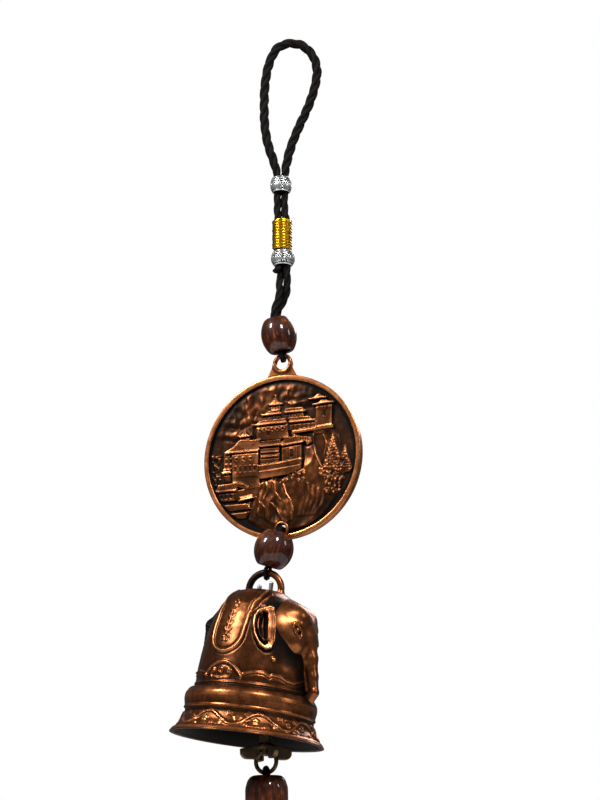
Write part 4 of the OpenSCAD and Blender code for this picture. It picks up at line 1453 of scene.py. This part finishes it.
def tail(p):
    """The tail hangs down the back of the bell and ends in a tuft."""
    whole = limb(p, (-12.8, 0, -6.8), (-16, 0, -12.4), 1.7, 2.3, 1.9)
    whole = together(whole, limb(p, (-16, 0, -12.4), (-16.9, 0, -20.4), 2.3, 1.7, 1.9), 1.0)
    hatch = np.sin((p[:, 2] * 0.8 + np.abs(p[:, 1])) * TAU / 1.3)
    return whole + 0.13 * hatch * np.clip((-p[:, 2] - 9) / 3, 0, 1)


def bell_part(name, distance, low, high, step, reach, level, material):
    """A figure in the round on the bell's side, without what lies well inside the wall."""
    points, faces = surface_of(distance, low, high, step)
    depth = -points[:, 2]
    buried = np.hypot(points[:, 0], points[:, 1]) < wall_radius(depth) - np.where(depth < 7, 1.1, 0.9)
    faces = [f[~buried[f].all(1)] for f in faces]
    used = np.unique(np.concatenate([f.ravel() for f in faces]))
    index = np.full(len(points), -1)
    index[used] = np.arange(len(used))
    points, faces = points[used], [index[f] for f in faces]
    wear = level + 0.55 * np.clip(hollowness(distance, points, reach), -0.9, 0.5)
    Shape().add(points, faces, wear).build(name, "bell", "copper", material, BELL)


def make_bell(copper, steel):
    bell_wall(copper)
    bell_part("elephant_head", elephant, (3, -14.6, -37), (23.6, 14.6, 0), 0.26, 0.8, 0.62, copper)
    bell_part("elephant_tail", tail, (-21, -5, -26), (-9, 5, -3), 0.22, 0.5, 0.25, copper)

    # bail: an arch whose feet flare into the crown
    reach, foot = 5.65, BAIL_H - 5.65
    arc = [(reach * math.cos(a), 0, foot + reach * math.sin(a)) for a in np.linspace(math.pi, 0, 40)]
    path = even_line([(-reach, 0, -0.7), *arc, (reach, 0, -0.7)], 0.25)
    radius = 1.13 + 0.35 * ramp_up((1 - path[:, 2]) / 1.6)
    points, faces = tube(path, radius, 28)
    # The left half of the bail is painted darker than the right: a painted dark reflection on that side.
    shape = Shape().add(points, faces, np.interp(points[:, 0], [-1.5, 0.8], [0.2, 0.56]))
    shape.build("bell_bail", "bell", "copper", copper, BELL)

    foot = [(2 * math.cos(a), 0, -3 + 2 * math.sin(a)) for a in np.linspace(-math.pi, 0, 25)]
    path = even_line([(-2, 0, 2), (-2, 0, -0.6), *foot, (2, 0, -0.6), (2, 0, 3.2)], 0.2)
    Shape().add(*tube(path, 0.7, 20)).build("hanger_wire", "bell", "steel", steel, BELL, ["hanger_staple"])


# ---- clapper and pull ------------------------------------------------------------------------

def clapper_blades(p, turn):
    """Two blades on opposite sides of the stem, turned round it by some degrees."""
    c, s = math.cos(math.radians(turn)), math.sin(math.radians(turn))
    out, side, up = np.abs(c * p[:, 0] + s * p[:, 1]), -s * p[:, 0] + c * p[:, 1], p[:, 2] + LUG_H
    reach, half_thick = 8.8, 0.8
    upper = (up - 2.5) + out * 2 / reach
    corner = np.hypot(np.maximum(out - 6.6, 0), np.minimum(up + 0.6, 0)) - 2.2
    foot = np.maximum(-2.8 - up, corner)
    return np.maximum(np.maximum(upper * 0.97, out - reach), np.maximum(np.abs(side) - half_thick, foot))


def clapper_body(p):
    """A washer on the staple, a square stem, four blades round its foot and the lug for the ring."""
    washer = np.maximum(np.hypot(p[:, 1], p[:, 2]) - 2.3, np.abs(p[:, 0]) - 0.5)
    neck = block(p, (-0.5, -1.7, -7), (0.5, 1.7, -1), 0.15)
    stem = block(p, (-1.7, -1.7, -45.6), (1.7, 1.7, -5.6), 0.4) + 0.05 * noise(p, 3, 2)
    whole = joined(np.minimum(washer, neck), (stem, 0.5),
                   (clapper_blades(p, 45), 0.5), (clapper_blades(p, 135), 0.5))
    ring_room = np.maximum(np.hypot(p[:, 0], p[:, 1]) - 3.4, np.abs(p[:, 2] + 48.5) - 2.6)
    lug = block(p, (-0.9, -1.7, -48.3), (0.9, 1.7, -44.3), 0.25)
    whole = together(cut_by(whole, ring_room, 0.2), lug, 0.3)
    holes = np.minimum(np.hypot(p[:, 1], p[:, 2]) - 1.45, np.hypot(p[:, 1], p[:, 2] + LUG_H) - 1.0)
    return cut_by(whole, holes, 0.15)


def make_clapper(bronze):
    points, faces = surface_of(clapper_body, (-7.4, -7.4, -50.4), (7.4, 7.4, 3), 0.28)
    wear = 0.55 + 0.5 * np.clip(hollowness(clapper_body, points, 0.5), -0.8, 0.5)
    cast = Shape().add(points, faces, wear)
    cast.build("clapper_cast", "clapper", "bronze", bronze, CLAPPER, ["clapper"])
    gap = 0.05
    a = np.linspace(gap, TAU - gap, 90) + 2.3
    path = np.stack([RING_R * np.cos(a), 0.0 * a, RING_R * np.sin(a)], 1)
    wire = Shape().add(*tube(path, 0.69, 18))
    wire.build("clapper_wire", "clapper_ring", "bronze", bronze, RING, ["clapper_ring"])


# ---- the scene -------------------------------------------------------------------------------

add_camera()
make_cords(make_cord())
silver, wood, copper, bronze = make_silver(), make_wood(), make_copper(), make_bronze()
silver_bead("loop_bead", "loop_bead", 7.4, silver)
silver_bead("stop_bead", "hanging_cord", 8.2, silver)
gold_thread(make_gold_thread())
wooden_bead("upper_bead", "upper_bead", "upper_bead_spin", bead_outline(11.8, 12, 7.8, 5.2, 0.4), wood, 0.6)
wooden_bead("lower_bead", "lower_bead", "lower_bead_spin", bead_outline(11.8, 13, 7.8, 4.8, 0.4), wood, 2.4)
wooden_bead("barrel_bead", "barrel_bead", "barrel_bead_spin", barrel_outline(), wood, 4.1)
make_medallion(copper)
make_bell(copper, make_steel())
make_clapper(bronze)

add_floor()
add_world()
add_light("key", -60, 38, 0.9, (0.14, 0.24), 9)
add_light("fill", 22, 40, 1.0, (0.14, 0.24), 8)
add_light("side", 70, 20, 1.1, (0.12, 0.3), 1.5)
add_light("rim", 150, 35, 1.1, (0.5, 0.5), 4)
bpy.context.scene.view_settings.view_transform = "Standard"
